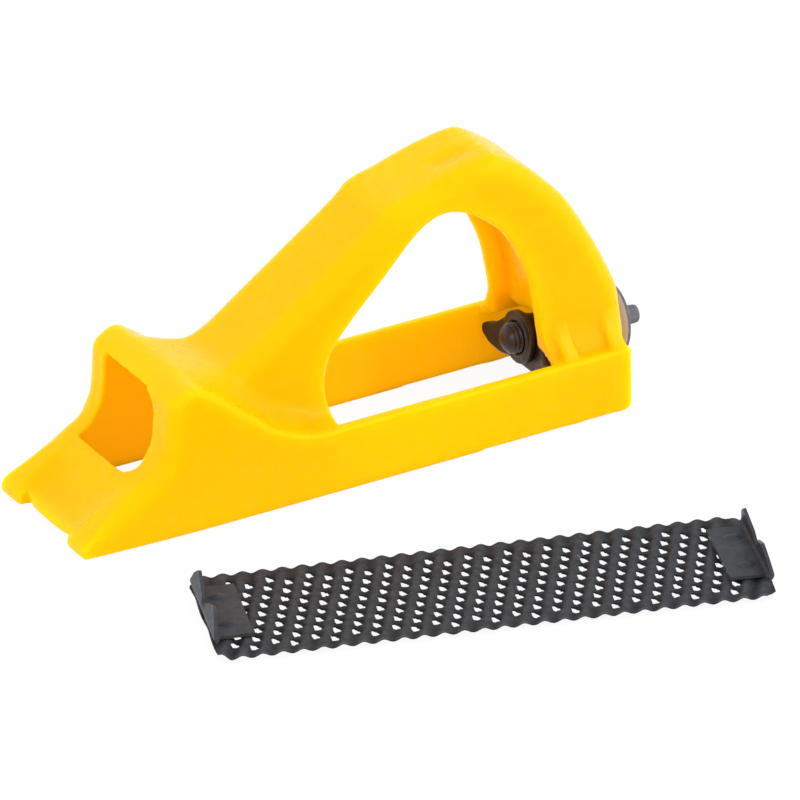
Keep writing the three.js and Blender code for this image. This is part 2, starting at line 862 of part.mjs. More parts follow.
const wavePitch = bladeLength / waveCount;
const skewSlope = Math.tan(waveSkew);
const sheetMiddle = toothDrop + waveHeight / 2 + sheetThickness / 2;
const crestTop = sheetMiddle + waveHeight / 2 + sheetThickness / 2;
const halfBladeLength = bladeLength / 2;
const halfBladeWidth = bladeWidth / 2;

function wavySheet() {
  const spare = Math.ceil((skewSlope * bladeWidth) / wavePitch) + 1;
  const start = -halfBladeLength - spare * wavePitch;
  const steps = 2 * (waveCount + 2 * spare);
  const upper = [];
  const lower = [];
  for (let i = 0; i <= steps; i += 1) {
    const x = start + (i * wavePitch) / 2;
    const z = sheetMiddle + (i % 2 === 0 ? -waveHeight / 2 : waveHeight / 2);
    upper.push(point(x, z + sheetThickness / 2));
    lower.unshift(point(x, z - sheetThickness / 2));
  }
  const shape = new THREE.Shape([...lower.reverse(), ...upper.reverse()]);
  const geometry = new THREE.ExtrudeGeometry(shape, { depth: bladeWidth + 2 * overrun, bevelEnabled: false });
  geometry.rotateX(Math.PI / 2);
  geometry.translate(0, halfBladeWidth + overrun, 0);
  const shear = new THREE.Matrix4().set(1, skewSlope, 0, 0, 0, 1, 0, 0, 0, 0, 1, 0, 0, 0, 0, 1);
  geometry.applyMatrix4(shear);
  const plate = new THREE.Shape([
    point(-halfBladeLength, -halfBladeWidth + bladeCornerCut),
    point(-halfBladeLength + bladeCornerCut, -halfBladeWidth),
    point(halfBladeLength - bladeCornerCut, -halfBladeWidth),
    point(halfBladeLength, -halfBladeWidth + bladeCornerCut),
    point(halfBladeLength, halfBladeWidth - bladeCornerCut),
    point(halfBladeLength - bladeCornerCut, halfBladeWidth),
    point(-halfBladeLength + bladeCornerCut, halfBladeWidth),
    point(-halfBladeLength, halfBladeWidth - bladeCornerCut),
  ]);
  const trim = new THREE.ExtrudeGeometry(plate, { depth: crestTop + overrun, bevelEnabled: false });
  return solidOf(geometry).intersect(solidOf(trim));
}

// Every pierced hole: rows follow the flanks of the skewed waves, and every second row is short and half
// a pitch over.
function holeSpots() {
  const spots = [];
  const rows = waveCount - 1;
  for (let k = 0; k < rows; k += 1) {
    const long = k % 2 === 0;
    const count = long ? holesInLongRow : holesInLongRow - 1;
    const middle = (k - (rows - 1) / 2 + flankShare) * wavePitch;
    for (let j = 0; j < count; j += 1) {
      const v = (j - (count - 1) / 2) * holePitch;
      const u = middle + skewSlope * v;
      if (Math.abs(u) + holeLength < halfBladeLength) {
        spots.push({ u, v, toothed: Math.abs(middle) < (rows / 2 - plainRows) * wavePitch });
      }
    }
  }
  return spots;
}

function prismOver(outline, spot, z0, z1) {
  const shape = new THREE.Shape(outline.map(([du, dv]) => point(spot.u + du, spot.v + dv)));
  const geometry = new THREE.ExtrudeGeometry(shape, { depth: z1 - z0, bevelEnabled: false });
  geometry.translate(0, 0, z0);
  return geometry;
}

// A tooth hangs from the flat side of its hole: three corners inside the sheet and a tip on the surface.
function toothUnder(spot) {
  const half = (holeLength / 2) * toothRootShare;
  const rise = (half * waveHeight) / (wavePitch / 2);
  const edge = spot.v - holeWidth / 2;
  const a = new THREE.Vector3(spot.u - half, edge - toothLength / 2, sheetMiddle - rise);
  const b = new THREE.Vector3(spot.u + half, edge - toothLength / 2, sheetMiddle + rise);
  const c = new THREE.Vector3(spot.u, edge - toothLength * toothBackShare, sheetMiddle);
  const tip = new THREE.Vector3(spot.u, edge + toothLength / 2, 0);
  const positions = [a, b, c, b, a, tip, c, b, tip, a, c, tip].flatMap((corner) => corner.toArray());
  const geometry = new THREE.BufferGeometry();
  geometry.setAttribute("position", new THREE.Float32BufferAttribute(positions, 3));
  return mergeVertices(geometry);
}

function bladeSheet() {
  const half = holeLength / 2;
  const dome = holeWidth / 2;
  const outline = [[-half, -dome], [half, -dome], [half * domeShare, dome], [-half * domeShare, dome]];
  const spots = holeSpots();
  const holes = mergeGeometries(spots.map((spot) => prismOver(outline, spot, 0, crestTop + overrun)));
  let solid = wavySheet().subtract(solidOf(holes));
  const teeth = mergeGeometries(spots.filter((spot) => spot.toothed).map(toothUnder));
  solid = solid.add(solidOf(teeth));
  for (const end of [-1, 1]) {
    for (const spot of rivetSpots(end)) {
      solid = solid.subtract(rivetBore(spot, 0, crestTop + overrun));
    }
  }
  return solid;
}

// The clips at the blade's ends, and the two rivets that hold each one

const clipBase = crestTop + seatGap;

function rivetSpots(end) {
  return [-1, 1].map((side) => ({
    u: end * (halfBladeLength - clipThickness - rivetSetback),
    v: (side * rivetSpacing) / 2,
  }));
}

function rivetBore(spot, z0, z1) {
  const radius = rivetShankDiameter / 2 + pressGap;
  const geometry = new THREE.CylinderGeometry(radius, radius, z1 - z0, roundSteps / 4);
  geometry.rotateX(Math.PI / 2);
  geometry.translate(spot.u, spot.v, (z0 + z1) / 2);
  return solidOf(geometry);
}

function bladeClip(end) {
  const plate = new THREE.BoxGeometry(clipPlateLength, clipPlateWidth, clipThickness);
  plate.translate(end * (halfBladeLength - clipPlateLength / 2), 0, clipBase + clipThickness / 2);
  const half = clipFlangeWidth / 2;
  const notch = clipNotchWidth / 2;
  const floor = clipFlangeHeight - clipNotchDepth;
  const shape = new THREE.Shape();
  shape.moveTo(-half, 0);
  shape.lineTo(half, 0);
  shape.lineTo(half - clipFlangeTaper, clipFlangeHeight);
  shape.lineTo(notch, clipFlangeHeight);
  shape.quadraticCurveTo(notch, floor, notch * clipNotchFootShare, floor);
  shape.lineTo(-notch * clipNotchFootShare, floor);
  shape.quadraticCurveTo(-notch, floor, -notch, clipFlangeHeight);
  shape.lineTo(-half + clipFlangeTaper, clipFlangeHeight);
  const flange = new THREE.ExtrudeGeometry(shape, {
    depth: clipThickness,
    bevelEnabled: false,
    curveSegments: 4,
  });
  flange.rotateX(Math.PI / 2);
  flange.rotateZ(Math.PI / 2);
  flange.translate(-clipThickness, 0, 0);
  flange.rotateY(-clipFlangeLean);
  flange.translate(halfBladeLength, 0, clipBase);
  if (end < 0) {
    flange.rotateZ(Math.PI);
  }
  let solid = solidOf(plate).add(solidOf(flange));
  for (const spot of rivetSpots(end)) {
    solid = solid.subtract(rivetBore(spot, 0, clipBase + clipThickness + overrun));
  }
  return solid;
}

function clipRivet(spot) {
  const shank = rivetShankDiameter / 2;
  const head = rivetHeadDiameter / 2;
  const foot = rivetFootDiameter / 2;
  const footTop = sheetMiddle - waveHeight / 2 - sheetThickness / 2 - pressGap;
  const headBase = clipBase + clipThickness + pressGap;
  const profile = [
    [0, footTop - rivetFootHeight],
    [foot, footTop - rivetFootHeight],
    [foot, footTop],
    [shank, footTop],
    [shank, headBase],
    ...rivetDomeShares.map(([wide, high]) => [head * wide, headBase + rivetHeadHeight * high]),
  ];
  const geometry = new THREE.LatheGeometry(profile.map(([r, z]) => new THREE.Vector2(r, z)), roundSteps / 2);
  geometry.rotateX(Math.PI / 2);
  geometry.translate(spot.u, spot.v, 0);
  return solidOf(geometry);
}

// The whole thing: the plane and the blade beside it, with the origin under the middle of both

function meshOf(name, solid, material) {
  const mesh = new THREE.Mesh(geometryOf(solid), material);
  mesh.name = name;
  return mesh;
}

const plane = new THREE.Group();
plane.add(meshOf("body_shell", bodyShell(), yellowPlastic));
plane.add(meshOf("tensioner_bar", tensionerBar(), darkCasting));
plane.add(meshOf("flange_nut", flangeNut(), darkSteel));
plane.add(meshOf("threaded_stud", threadedStud(), darkSteel));
plane.add(meshOf("thumb_knob", thumbKnob(), castGrey));

const blade = new THREE.Group();
blade.add(meshOf("blade_sheet", bladeSheet(), blackSheet));
for (const [name, end] of [["front_clip", -1], ["rear_clip", 1]]) {
  blade.add(meshOf(name, bladeClip(end), blackClip));
  const [right, left] = rivetSpots(end);
  blade.add(meshOf(`${name}_rivet_right`, clipRivet(right), blackClip));
  blade.add(meshOf(`${name}_rivet_left`, clipRivet(left), blackClip));
}
blade.position.set(bladeCentreX, bladeCentreY, 0);
blade.rotation.z = bladeYaw;

const raspPlane = new THREE.Group();
const placed = new THREE.Group();
placed.add(plane, blade);
raspPlane.add(placed);
raspPlane.updateMatrixWorld(true);
const reach = new THREE.Box3().setFromObject(placed, true);
const middle = reach.getCenter(new THREE.Vector3());
placed.position.set(-middle.x, -middle.y, -reach.min.z);

export default raspPlane;
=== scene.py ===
"""Dresses the rasp plane: a moulded yellow body, its thumb-screw tensioner and the loose rasp blade.

Every piece is worked out in millimetres in its own simple frame and then placed in the shared frame of
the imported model, in metres. The plane's own frame has X from toe to heel, Y across and Z up from the soles.
"""

import json
import logging
import math
from collections.abc import Callable
from dataclasses import dataclass, field
from enum import Enum

import bmesh
import bpy
import numpy as np
from mathutils import Matrix, Vector

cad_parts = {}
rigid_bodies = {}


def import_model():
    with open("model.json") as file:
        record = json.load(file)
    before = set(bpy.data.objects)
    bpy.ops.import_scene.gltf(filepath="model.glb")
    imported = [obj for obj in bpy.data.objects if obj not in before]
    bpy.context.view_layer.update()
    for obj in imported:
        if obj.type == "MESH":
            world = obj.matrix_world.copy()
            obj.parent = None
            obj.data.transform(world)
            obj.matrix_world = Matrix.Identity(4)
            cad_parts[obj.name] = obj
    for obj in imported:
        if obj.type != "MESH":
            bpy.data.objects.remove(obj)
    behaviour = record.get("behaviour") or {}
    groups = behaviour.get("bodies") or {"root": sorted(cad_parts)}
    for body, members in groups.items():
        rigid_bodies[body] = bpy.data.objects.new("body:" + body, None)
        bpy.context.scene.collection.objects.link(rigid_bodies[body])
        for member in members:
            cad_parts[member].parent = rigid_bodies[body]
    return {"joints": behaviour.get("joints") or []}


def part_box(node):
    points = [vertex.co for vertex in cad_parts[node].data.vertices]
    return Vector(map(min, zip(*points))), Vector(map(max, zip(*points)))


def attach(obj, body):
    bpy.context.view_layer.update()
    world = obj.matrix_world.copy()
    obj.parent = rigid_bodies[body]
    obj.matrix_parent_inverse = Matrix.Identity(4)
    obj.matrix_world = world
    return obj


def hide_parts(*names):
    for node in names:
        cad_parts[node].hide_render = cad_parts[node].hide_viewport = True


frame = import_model()

LOG = logging.getLogger("rasp_plane")
METRES = 0.001

Array = np.ndarray
Field = Callable[[Array, Array, Array], Array]
Points = list[tuple[float, float]]
Spacing = tuple[tuple[float, ...], tuple[float, ...]]


class Finish(Enum):
    """The record's material slots that the pieces take their finish from."""

    YELLOW_PLASTIC = "yellow_plastic"
    DARK_CASTING = "dark_casting"
    DARK_STEEL = "dark_steel"
    CAST_GREY = "cast_grey"
    BLACK_SHEET = "black_sheet"
    BLACK_CLIP = "black_clip"


def linear(red: float, green: float, blue: float) -> tuple[float, float, float, float]:
    """Turns a colour on the 0 to 255 screen scale into Blender's linear one.

    Args:
        red: Red as a screen shows it.
        green: Green as a screen shows it.
        blue: Blue as a screen shows it.

    Returns:
        Linear red, green, blue and an alpha of one.
    """
    shares = [value / 255 for value in (red, green, blue)]
    lin = [v / 12.92 if v <= 0.04045 else ((v + 0.055) / 1.055) ** 2.4 for v in shares]
    return (lin[0], lin[1], lin[2], 1.0)


class Nodes:
    """Builds one material's node tree step by step."""

    def __init__(self, name: str) -> None:
        """Makes an empty material with a surface shader.

        Args:
            name: The material's name.
        """
        self.material = bpy.data.materials.new(name)
        self.material.use_nodes = True
        self.tree = self.material.node_tree
        self.tree.nodes.clear()
        self.output = self.tree.nodes.new("ShaderNodeOutputMaterial")
        self.shader = self.tree.nodes.new("ShaderNodeBsdfPrincipled")
        self.link(self.shader.outputs["BSDF"], self.output.inputs["Surface"])
        self.place = self.tree.nodes.new("ShaderNodeTexCoord").outputs["Object"]

    def link(self, source: bpy.types.NodeSocket, target: bpy.types.NodeSocket) -> None:
        """Joins an output to an input."""
        self.tree.links.new(source, target)

    def set(self, **values: float | tuple[float, ...]) -> None:
        """Sets the shader's own sockets; a name's underscores stand for spaces."""
        for name, value in values.items():
            self.shader.inputs[name.replace("_", " ")].default_value = value

    def noise(self, scale: float, detail: float = 2.0) -> bpy.types.NodeSocket:
        """Adds a noise pattern.

        Args:
            scale: Patches per metre.
            detail: How many finer layers it has.

        Returns:
            The pattern, from 0 to 1.
        """
        node = self.tree.nodes.new("ShaderNodeTexNoise")
        node.inputs["Scale"].default_value = scale
        node.inputs["Detail"].default_value = detail
        self.link(self.place, node.inputs["Vector"])
        return node.outputs["Fac"]

    def ramp(self, source: bpy.types.NodeSocket, low: float, high: float,
             bottom: tuple[float, ...] | float, top: tuple[float, ...] | float) -> bpy.types.NodeSocket:
        """Maps a pattern's range onto two colours or two numbers.

        Args:
            source: The pattern.
            low: The pattern's value that gives the bottom.
            high: The pattern's value that gives the top.
            bottom: A colour or a number.
            top: A colour or a number.

        Returns:
            The mapped colour or number.
        """
        spread = self.tree.nodes.new("ShaderNodeMapRange")
        spread.inputs["From Min"].default_value = low
        spread.inputs["From Max"].default_value = high
        self.link(source, spread.inputs["Value"])
        if isinstance(bottom, float):
            spread.inputs["To Min"].default_value = bottom
            spread.inputs["To Max"].default_value = top
            return spread.outputs["Result"]
        mix = self.tree.nodes.new("ShaderNodeMix")
        mix.data_type = "RGBA"
        colours = [socket for socket in mix.inputs if socket.type == "RGBA"]
        colours[0].default_value = bottom
        colours[1].default_value = top
        self.link(spread.outputs["Result"], mix.inputs["Factor"])
        return next(socket for socket in mix.outputs if socket.type == "RGBA")

    def edge_share(self, low: float, high: float) -> bpy.types.NodeSocket:
        """Finds worn edges by how sharply the surface bends outwards.

        Args:
            low: The pointiness where wear begins.
            high: The pointiness where wear is full.

        Returns:
            The wear, from 0 to 1.
        """
        geometry = self.tree.nodes.new("ShaderNodeNewGeometry")
        return self.ramp(geometry.outputs["Pointiness"], low, high, 0.0, 1.0)

    def painted_shade_share(self, low: float, high: float) -> bpy.types.NodeSocket:
        """Finds how deep a point of the sheet lies in its waves, as the mask for the painted shade in its
        hollows.

        Args:
            low: The height in metres at which the share is full.
            high: The height in metres at which it is nothing.

        Returns:
            The share, from 0 to 1.
        """
        split = self.tree.nodes.new("ShaderNodeSeparateXYZ")
        self.link(self.place, split.inputs["Vector"])
        return self.ramp(split.outputs["Z"], low, high, 1.0, 0.0)

    def front_share(self, full: float, none: float) -> bpy.types.NodeSocket:
        """Finds the faces that look towards the toe, as the mask for the painted light on them.

        Args:
            full: The normal's X at which the share is full.
            none: The normal's X at which it is nothing.

        Returns:
            The share, from 0 to 1.
        """
        split = self.tree.nodes.new("ShaderNodeSeparateXYZ")
        self.link(self.tree.nodes.new("ShaderNodeTexCoord").outputs["Normal"], split.inputs["Vector"])
        return self.ramp(split.outputs["X"], full, none, 1.0, 0.0)

    def mix(self, share: bpy.types.NodeSocket, first: bpy.types.NodeSocket | tuple[float, ...],
            second: bpy.types.NodeSocket | tuple[float, ...]) -> bpy.types.NodeSocket:
        """Mixes two colours.

        Args:
            share: How much of the second shows.
            first: A colour or a socket.
            second: A colour or a socket.

        Returns:
            The mixed colour.
        """
        node = self.tree.nodes.new("ShaderNodeMix")
        node.data_type = "RGBA"
        colours = [socket for socket in node.inputs if socket.type == "RGBA"]
        for socket, value in zip(colours, (first, second)):
            if isinstance(value, tuple):
                socket.default_value = value
            else:
                self.link(value, socket)
        self.link(share, node.inputs["Factor"])
        return next(socket for socket in node.outputs if socket.type == "RGBA")

    def bump(self, *layers: tuple[bpy.types.NodeSocket, float, float]) -> None:
        """Adds relief to the shader.

        Args:
            layers: For each layer a pattern, its strength and its height in metres.
        """
        normal = None
        for pattern, strength, height in layers:
            node = self.tree.nodes.new("ShaderNodeBump")
            node.inputs["Strength"].default_value = strength
            node.inputs["Distance"].default_value = height
            self.link(pattern, node.inputs["Height"])
            if normal is not None:
                self.link(normal, node.inputs["Normal"])
            normal = node.outputs["Normal"]
        self.link(normal, self.shader.inputs["Normal"])


@dataclass(frozen=True)
class MouldedPlastic:
    """Glossy moulded plastic with the faint orange peel of a polished mould, and a painted orange glow that
    lightens its shaded insides.
    """

    base: tuple[float, float, float]
    deep: tuple[float, float, float]
    roughness: float = 0.26
    mirror: float = 0.1
    mirror_tint: tuple[float, float, float, float] = (1.0, 0.9, 0.4, 1.0)
    glow: float = 0.9
    glow_reach: tuple[float, float, float] = (0.011, 0.012, 0.0003)
    # painted light: an orange glow given off as emission, which lifts the shaded insides of the body
    painted_glow: tuple[float, float, float, float] = (1.0, 0.75, 0.0, 1.0)
    painted_glow_strength: float = 0.09
    cloud_scale: float = 38.0
    cloud_range: tuple[float, float] = (0.3, 0.7)
    gloss_scale: float = 260.0
    gloss_range: tuple[float, float] = (0.25, 0.75)
    gloss_spread: tuple[float, float] = (-0.03, 0.05)
    wave_scale: float = 90.0
    wave_strength: float = 0.12
    wave_height: float = 0.0004
    peel_scale: float = 2600.0
    peel_strength: float = 0.05
    peel_height: float = 0.00005

    def material(self, name: str) -> bpy.types.Material:
        """Makes the material."""
        nodes = Nodes(name)
        pattern = nodes.noise(self.cloud_scale, 3.0)
        cloud = nodes.ramp(pattern, *self.cloud_range, linear(*self.deep), linear(*self.base))
        nodes.link(cloud, nodes.shader.inputs["Base Color"])
        smooth, rough = (self.roughness + change for change in self.gloss_spread)
        gloss = nodes.ramp(nodes.noise(self.gloss_scale, 4.0), *self.gloss_range, smooth, rough)
        nodes.link(gloss, nodes.shader.inputs["Roughness"])
        nodes.set(Metallic=0.0, IOR=1.5, Specular_IOR_Level=self.mirror, Specular_Tint=self.mirror_tint)
        nodes.set(Subsurface_Weight=self.glow, Subsurface_Radius=self.glow_reach, Subsurface_Scale=1.0)
        # Painted glow: the plastic gives off a faint orange emission that lightens its shaded insides.
        nodes.set(Emission_Color=self.painted_glow, Emission_Strength=self.painted_glow_strength)
        waves = (nodes.noise(self.wave_scale, 1.0), self.wave_strength, self.wave_height)
        peel = (nodes.noise(self.peel_scale, 2.0), self.peel_strength, self.peel_height)
        nodes.bump(waves, peel)
        return nodes.material


@dataclass(frozen=True)
class DarkMetal:
    """Dark metal, from lacquered casting to blackened sheet, with a mottled tone and worn edges.

    The painted shade is the range of height over which a sheet's hollows are painted dark, as painted shade.
    The painted toe light is a pale colour painted on the faces that look towards the toe, as painted light
    that lifts their shade.
    """

    base: tuple[float, float, float]
    light: tuple[float, float, float]
    worn: tuple[float, float, float]
    roughness: float
    grain: float
    grain_height: float
    metallic: float = 0.0
    mirror: float = 0.5
    wear: tuple[float, float] = (0.56, 0.66)
    # painted shade: the heights over which a sheet's hollows are painted darker, and their dark colour
    painted_shade: tuple[float, float] | None = None
    painted_shade_tone: tuple[float, float, float] = (16, 17, 20)
    # painted light: a pale bluish colour painted on the faces towards the toe, and the normals over which it
    # comes in
    painted_toe_light: tuple[float, float, float] | None = None
    painted_toe_light_turn: tuple[float, float] = (-0.95, -0.6)
    mottle_scale: float = 420.0
    mottle_range: tuple[float, float] = (0.34, 0.7)
    gloss_scale: float = 700.0
    gloss_range: tuple[float, float] = (0.3, 0.7)
    gloss_spread: tuple[float, float] = (-0.08, 0.1)
    dent_scale: float = 240.0
    dent_strength: float = 0.2
    dent_height: float = 0.0002
    grain_strength: float = 0.5

    def material(self, name: str) -> bpy.types.Material:
        """Makes the material."""
        nodes = Nodes(name)
        pattern = nodes.noise(self.mottle_scale, 5.0)
        mottle = nodes.ramp(pattern, *self.mottle_range, linear(*self.base), linear(*self.light))
        tone = nodes.mix(nodes.edge_share(*self.wear), mottle, linear(*self.worn))
        # Painted shade: the low hollows of a sheet are painted darker.
        if self.painted_shade is not None:
            tone = nodes.mix(nodes.painted_shade_share(*self.painted_shade), tone, linear(*self.painted_shade_tone))
        # Painted light: the faces towards the toe are painted pale bluish to lift their shade and cancel the
        # body's yellow bounce.
        if self.painted_toe_light is not None:
            tone = nodes.mix(nodes.front_share(*self.painted_toe_light_turn), tone, linear(*self.painted_toe_light))
        nodes.link(tone, nodes.shader.inputs["Base Color"])
        smooth, rough = (self.roughness + change for change in self.gloss_spread)
        gloss = nodes.ramp(nodes.noise(self.gloss_scale, 3.0), *self.gloss_range, smooth, rough)
        nodes.link(gloss, nodes.shader.inputs["Roughness"])
        nodes.set(Metallic=self.metallic, Specular_IOR_Level=self.mirror)
        fine = (nodes.noise(self.grain, 4.0), self.grain_strength, self.grain_height)
        dents = (nodes.noise(self.dent_scale, 2.0), self.dent_strength, self.dent_height)
        nodes.bump(dents, fine)
        return nodes.material


FINISHES = {
    Finish.YELLOW_PLASTIC: MouldedPlastic(base=(255, 167, 0), deep=(255, 164, 0)),
    Finish.DARK_CASTING: DarkMetal(
        base=(30, 26, 25), light=(44, 38, 36), worn=(70, 60, 55),
        roughness=0.42, grain=1500.0, grain_height=0.00006, metallic=0.1,
    ),
    Finish.DARK_STEEL: DarkMetal(
        base=(46, 42, 41), light=(64, 58, 57), worn=(92, 84, 82),
        roughness=0.34, grain=1800.0, grain_height=0.00004, metallic=0.5,
    ),
    # The knob's faces towards the toe carry painted light in a pale bluish colour.
    Finish.CAST_GREY: DarkMetal(
        base=(82, 83, 86), light=(108, 109, 112), worn=(140, 141, 144),
        roughness=0.6, grain=1700.0, grain_height=0.00016, mirror=0.2, painted_toe_light=(188, 212, 250),
    ),
    # The black sheet's hollows are painted darker as painted shade.
    Finish.BLACK_SHEET: DarkMetal(
        base=(50, 52, 56), light=(66, 68, 72), worn=(100, 102, 108),
        roughness=0.45, grain=2400.0, grain_height=0.00004, mirror=0.03, painted_shade=(0.0007, 0.0024),
    ),
    Finish.BLACK_CLIP: DarkMetal(
        base=(53, 56, 61), light=(63, 66, 71), worn=(92, 94, 100),
        roughness=0.32, grain=1600.0, grain_height=0.00003, mirror=0.04, wear=(0.8, 0.95),
    ),
}


class Paint:
    """Hands out one material for each finish."""

    def __init__(self) -> None:
        """Starts with nothing made."""
        self.made: dict[Finish, bpy.types.Material] = {}

    def coat(self, piece: bpy.types.Object, finish: Finish) -> None:
        """Gives a piece its material and names its slot in the record.

        Args:
            piece: The object to dress.
            finish: Its finish.
        """
        if finish not in self.made:
            self.made[finish] = FINISHES[finish].material(finish.value)
        piece.data.materials.clear()
        piece.data.materials.append(self.made[finish])


def round_min(first: Array, second: Array, radius: Array | float) -> Array:
    """Joins two solids with a round fillet of this radius."""
    corner = np.hypot(np.maximum(radius - first, 0), np.maximum(radius - second, 0))
    return np.maximum(radius, np.minimum(first, second)) - corner


def round_max(first: Array, second: Array, radius: Array | float) -> Array:
    """Keeps what two solids share, with their common edge rounded to this radius."""
    corner = np.hypot(np.maximum(first + radius, 0), np.maximum(second + radius, 0))
    return np.minimum(np.maximum(first, second), -radius) + corner


def ease(value: Array, start: float, end: float) -> Array:
    """Rises smoothly from 0 at the start to 1 at the end."""
    share = np.clip((value - start) / (end - start), 0, 1)
    return share * share * (3 - 2 * share)


def spline(points: Points, per_span: int = 12) -> Points:
    """Runs a smooth curve through points.

    Args:
        points: Where it passes.
        per_span: How many steps it has from one point to the next.

    Returns:
        The points of the curve.
    """
    knots = np.array([points[0], *points, points[-1]], float)
    curve = []
    for i in range(1, len(knots) - 2):
        a, b, c, d = knots[i - 1:i + 3]
        for t in np.linspace(0, 1, per_span, endpoint=False):
            curve.append(0.5 * (2 * b + (c - a) * t + (2 * a - 5 * b + 4 * c - d) * t * t
                                + (3 * b - a - 3 * c + d) * t * t * t))
    curve.append(knots[-1])
    return [(float(x), float(z)) for x, z in curve]


class SideView:
    """The signed distance to a closed outline of X and Z points, negative inside, kept as a fine table."""

    STEP = 0.3
    LOW = (-16.0, -16.0)
    HIGH = (186.0, 94.0)

    def __init__(self, outline: Points, softness: float) -> None:
        """Fills the table.

        Args:
            outline: The outline's corners, in millimetres.
            softness: How far its corners are softened, in millimetres.
        """
        self.xs = np.arange(self.LOW[0], self.HIGH[0], self.STEP)
        self.zs = np.arange(self.LOW[1], self.HIGH[1], self.STEP)
        x, z = np.meshgrid(self.xs, self.zs, indexing="ij")
        corners = np.array(outline, float)
        best = np.full(x.shape, 1e9)
        inside = np.zeros(x.shape, bool)
        for (ax, az), (bx, bz) in zip(corners, np.roll(corners, -1, axis=0)):
            ex, ez = bx - ax, bz - az
            square = ex * ex + ez * ez
            if square < 1e-12:
                continue
            share = np.clip(((x - ax) * ex + (z - az) * ez) / square, 0, 1)
            best = np.minimum(best, (x - ax - share * ex) ** 2 + (z - az - share * ez) ** 2)
            if az != bz:
                crosses = ((az > z) != (bz > z)) & (x < ax + (z - az) / (bz - az) * ex)
                inside ^= crosses
        table = np.where(inside, -1, 1) * np.sqrt(best)
        self.table = self.soften(table, softness)

    def soften(self, table: Array, softness: float) -> Array:
        """Blurs the table, which rounds the outline's corners.

        Args:
            table: The signed distances.
            softness: The blur's spread in millimetres.

        Returns:
            The blurred table.
        """
        reach = max(1, math.ceil(2.5 * softness / self.STEP))
        places = np.arange(-reach, reach + 1) * self.STEP
        weights = np.exp(-0.5 * (places / max(softness, 1e-3)) ** 2)
        weights /= weights.sum()
        for axis in (0, 1):
            margins = [(reach, reach) if a == axis else (0, 0) for a in (0, 1)]
            padded = np.pad(table, margins, mode="edge")
            count = table.shape[axis]
            table = sum(w * np.take(padded, range(i, i + count), axis) for i, w in enumerate(weights))
        return table

    def __call__(self, x: Array, z: Array) -> Array:
        """Looks up the distance at points, which may be arrays of shapes that fit together."""
        fx = np.clip((x - self.LOW[0]) / self.STEP, 0, len(self.xs) - 1.001)
        fz = np.clip((z - self.LOW[1]) / self.STEP, 0, len(self.zs) - 1.001)
        fx, fz = np.broadcast_arrays(fx, fz)
        i, k = fx.astype(int), fz.astype(int)
        u, w = fx - i, fz - k
        t = self.table
        return ((t[i, k] * (1 - u) + t[i + 1, k] * u) * (1 - w)
                + (t[i, k + 1] * (1 - u) + t[i + 1, k + 1] * u) * w)


@dataclass
class Skin:
    """A mesh in millimetres: its points, its faces and, where known, the normal at each point."""

    points: Array
    faces: list[tuple[int, ...]] | Array
    normals: Array | None = None

    def piece(self, name: str, place: Matrix) -> bpy.types.Object:
        """Makes a Blender object of it.

        Args:
            name: The object's name.
            place: Where its frame lies in the shared frame, with the scale to metres.

        Returns:
            The object, at the origin with its place in its mesh.
        """
        matrix = np.array(place)
        world = self.points @ matrix[:3, :3].T + matrix[:3, 3]
        mesh = bpy.data.meshes.new(name)
        mesh.from_pydata(world.tolist(), [], [tuple(int(i) for i in face) for face in self.faces])
        mesh.validate()
        mesh.shade_smooth()
        if self.normals is not None:
            turned = self.normals @ matrix[:3, :3].T
            turned /= np.linalg.norm(turned, axis=1, keepdims=True)
            mesh.normals_split_custom_set_from_vertices(turned.tolist())
        piece = bpy.data.objects.new(name, mesh)
        bpy.context.scene.collection.objects.link(piece)
        return piece


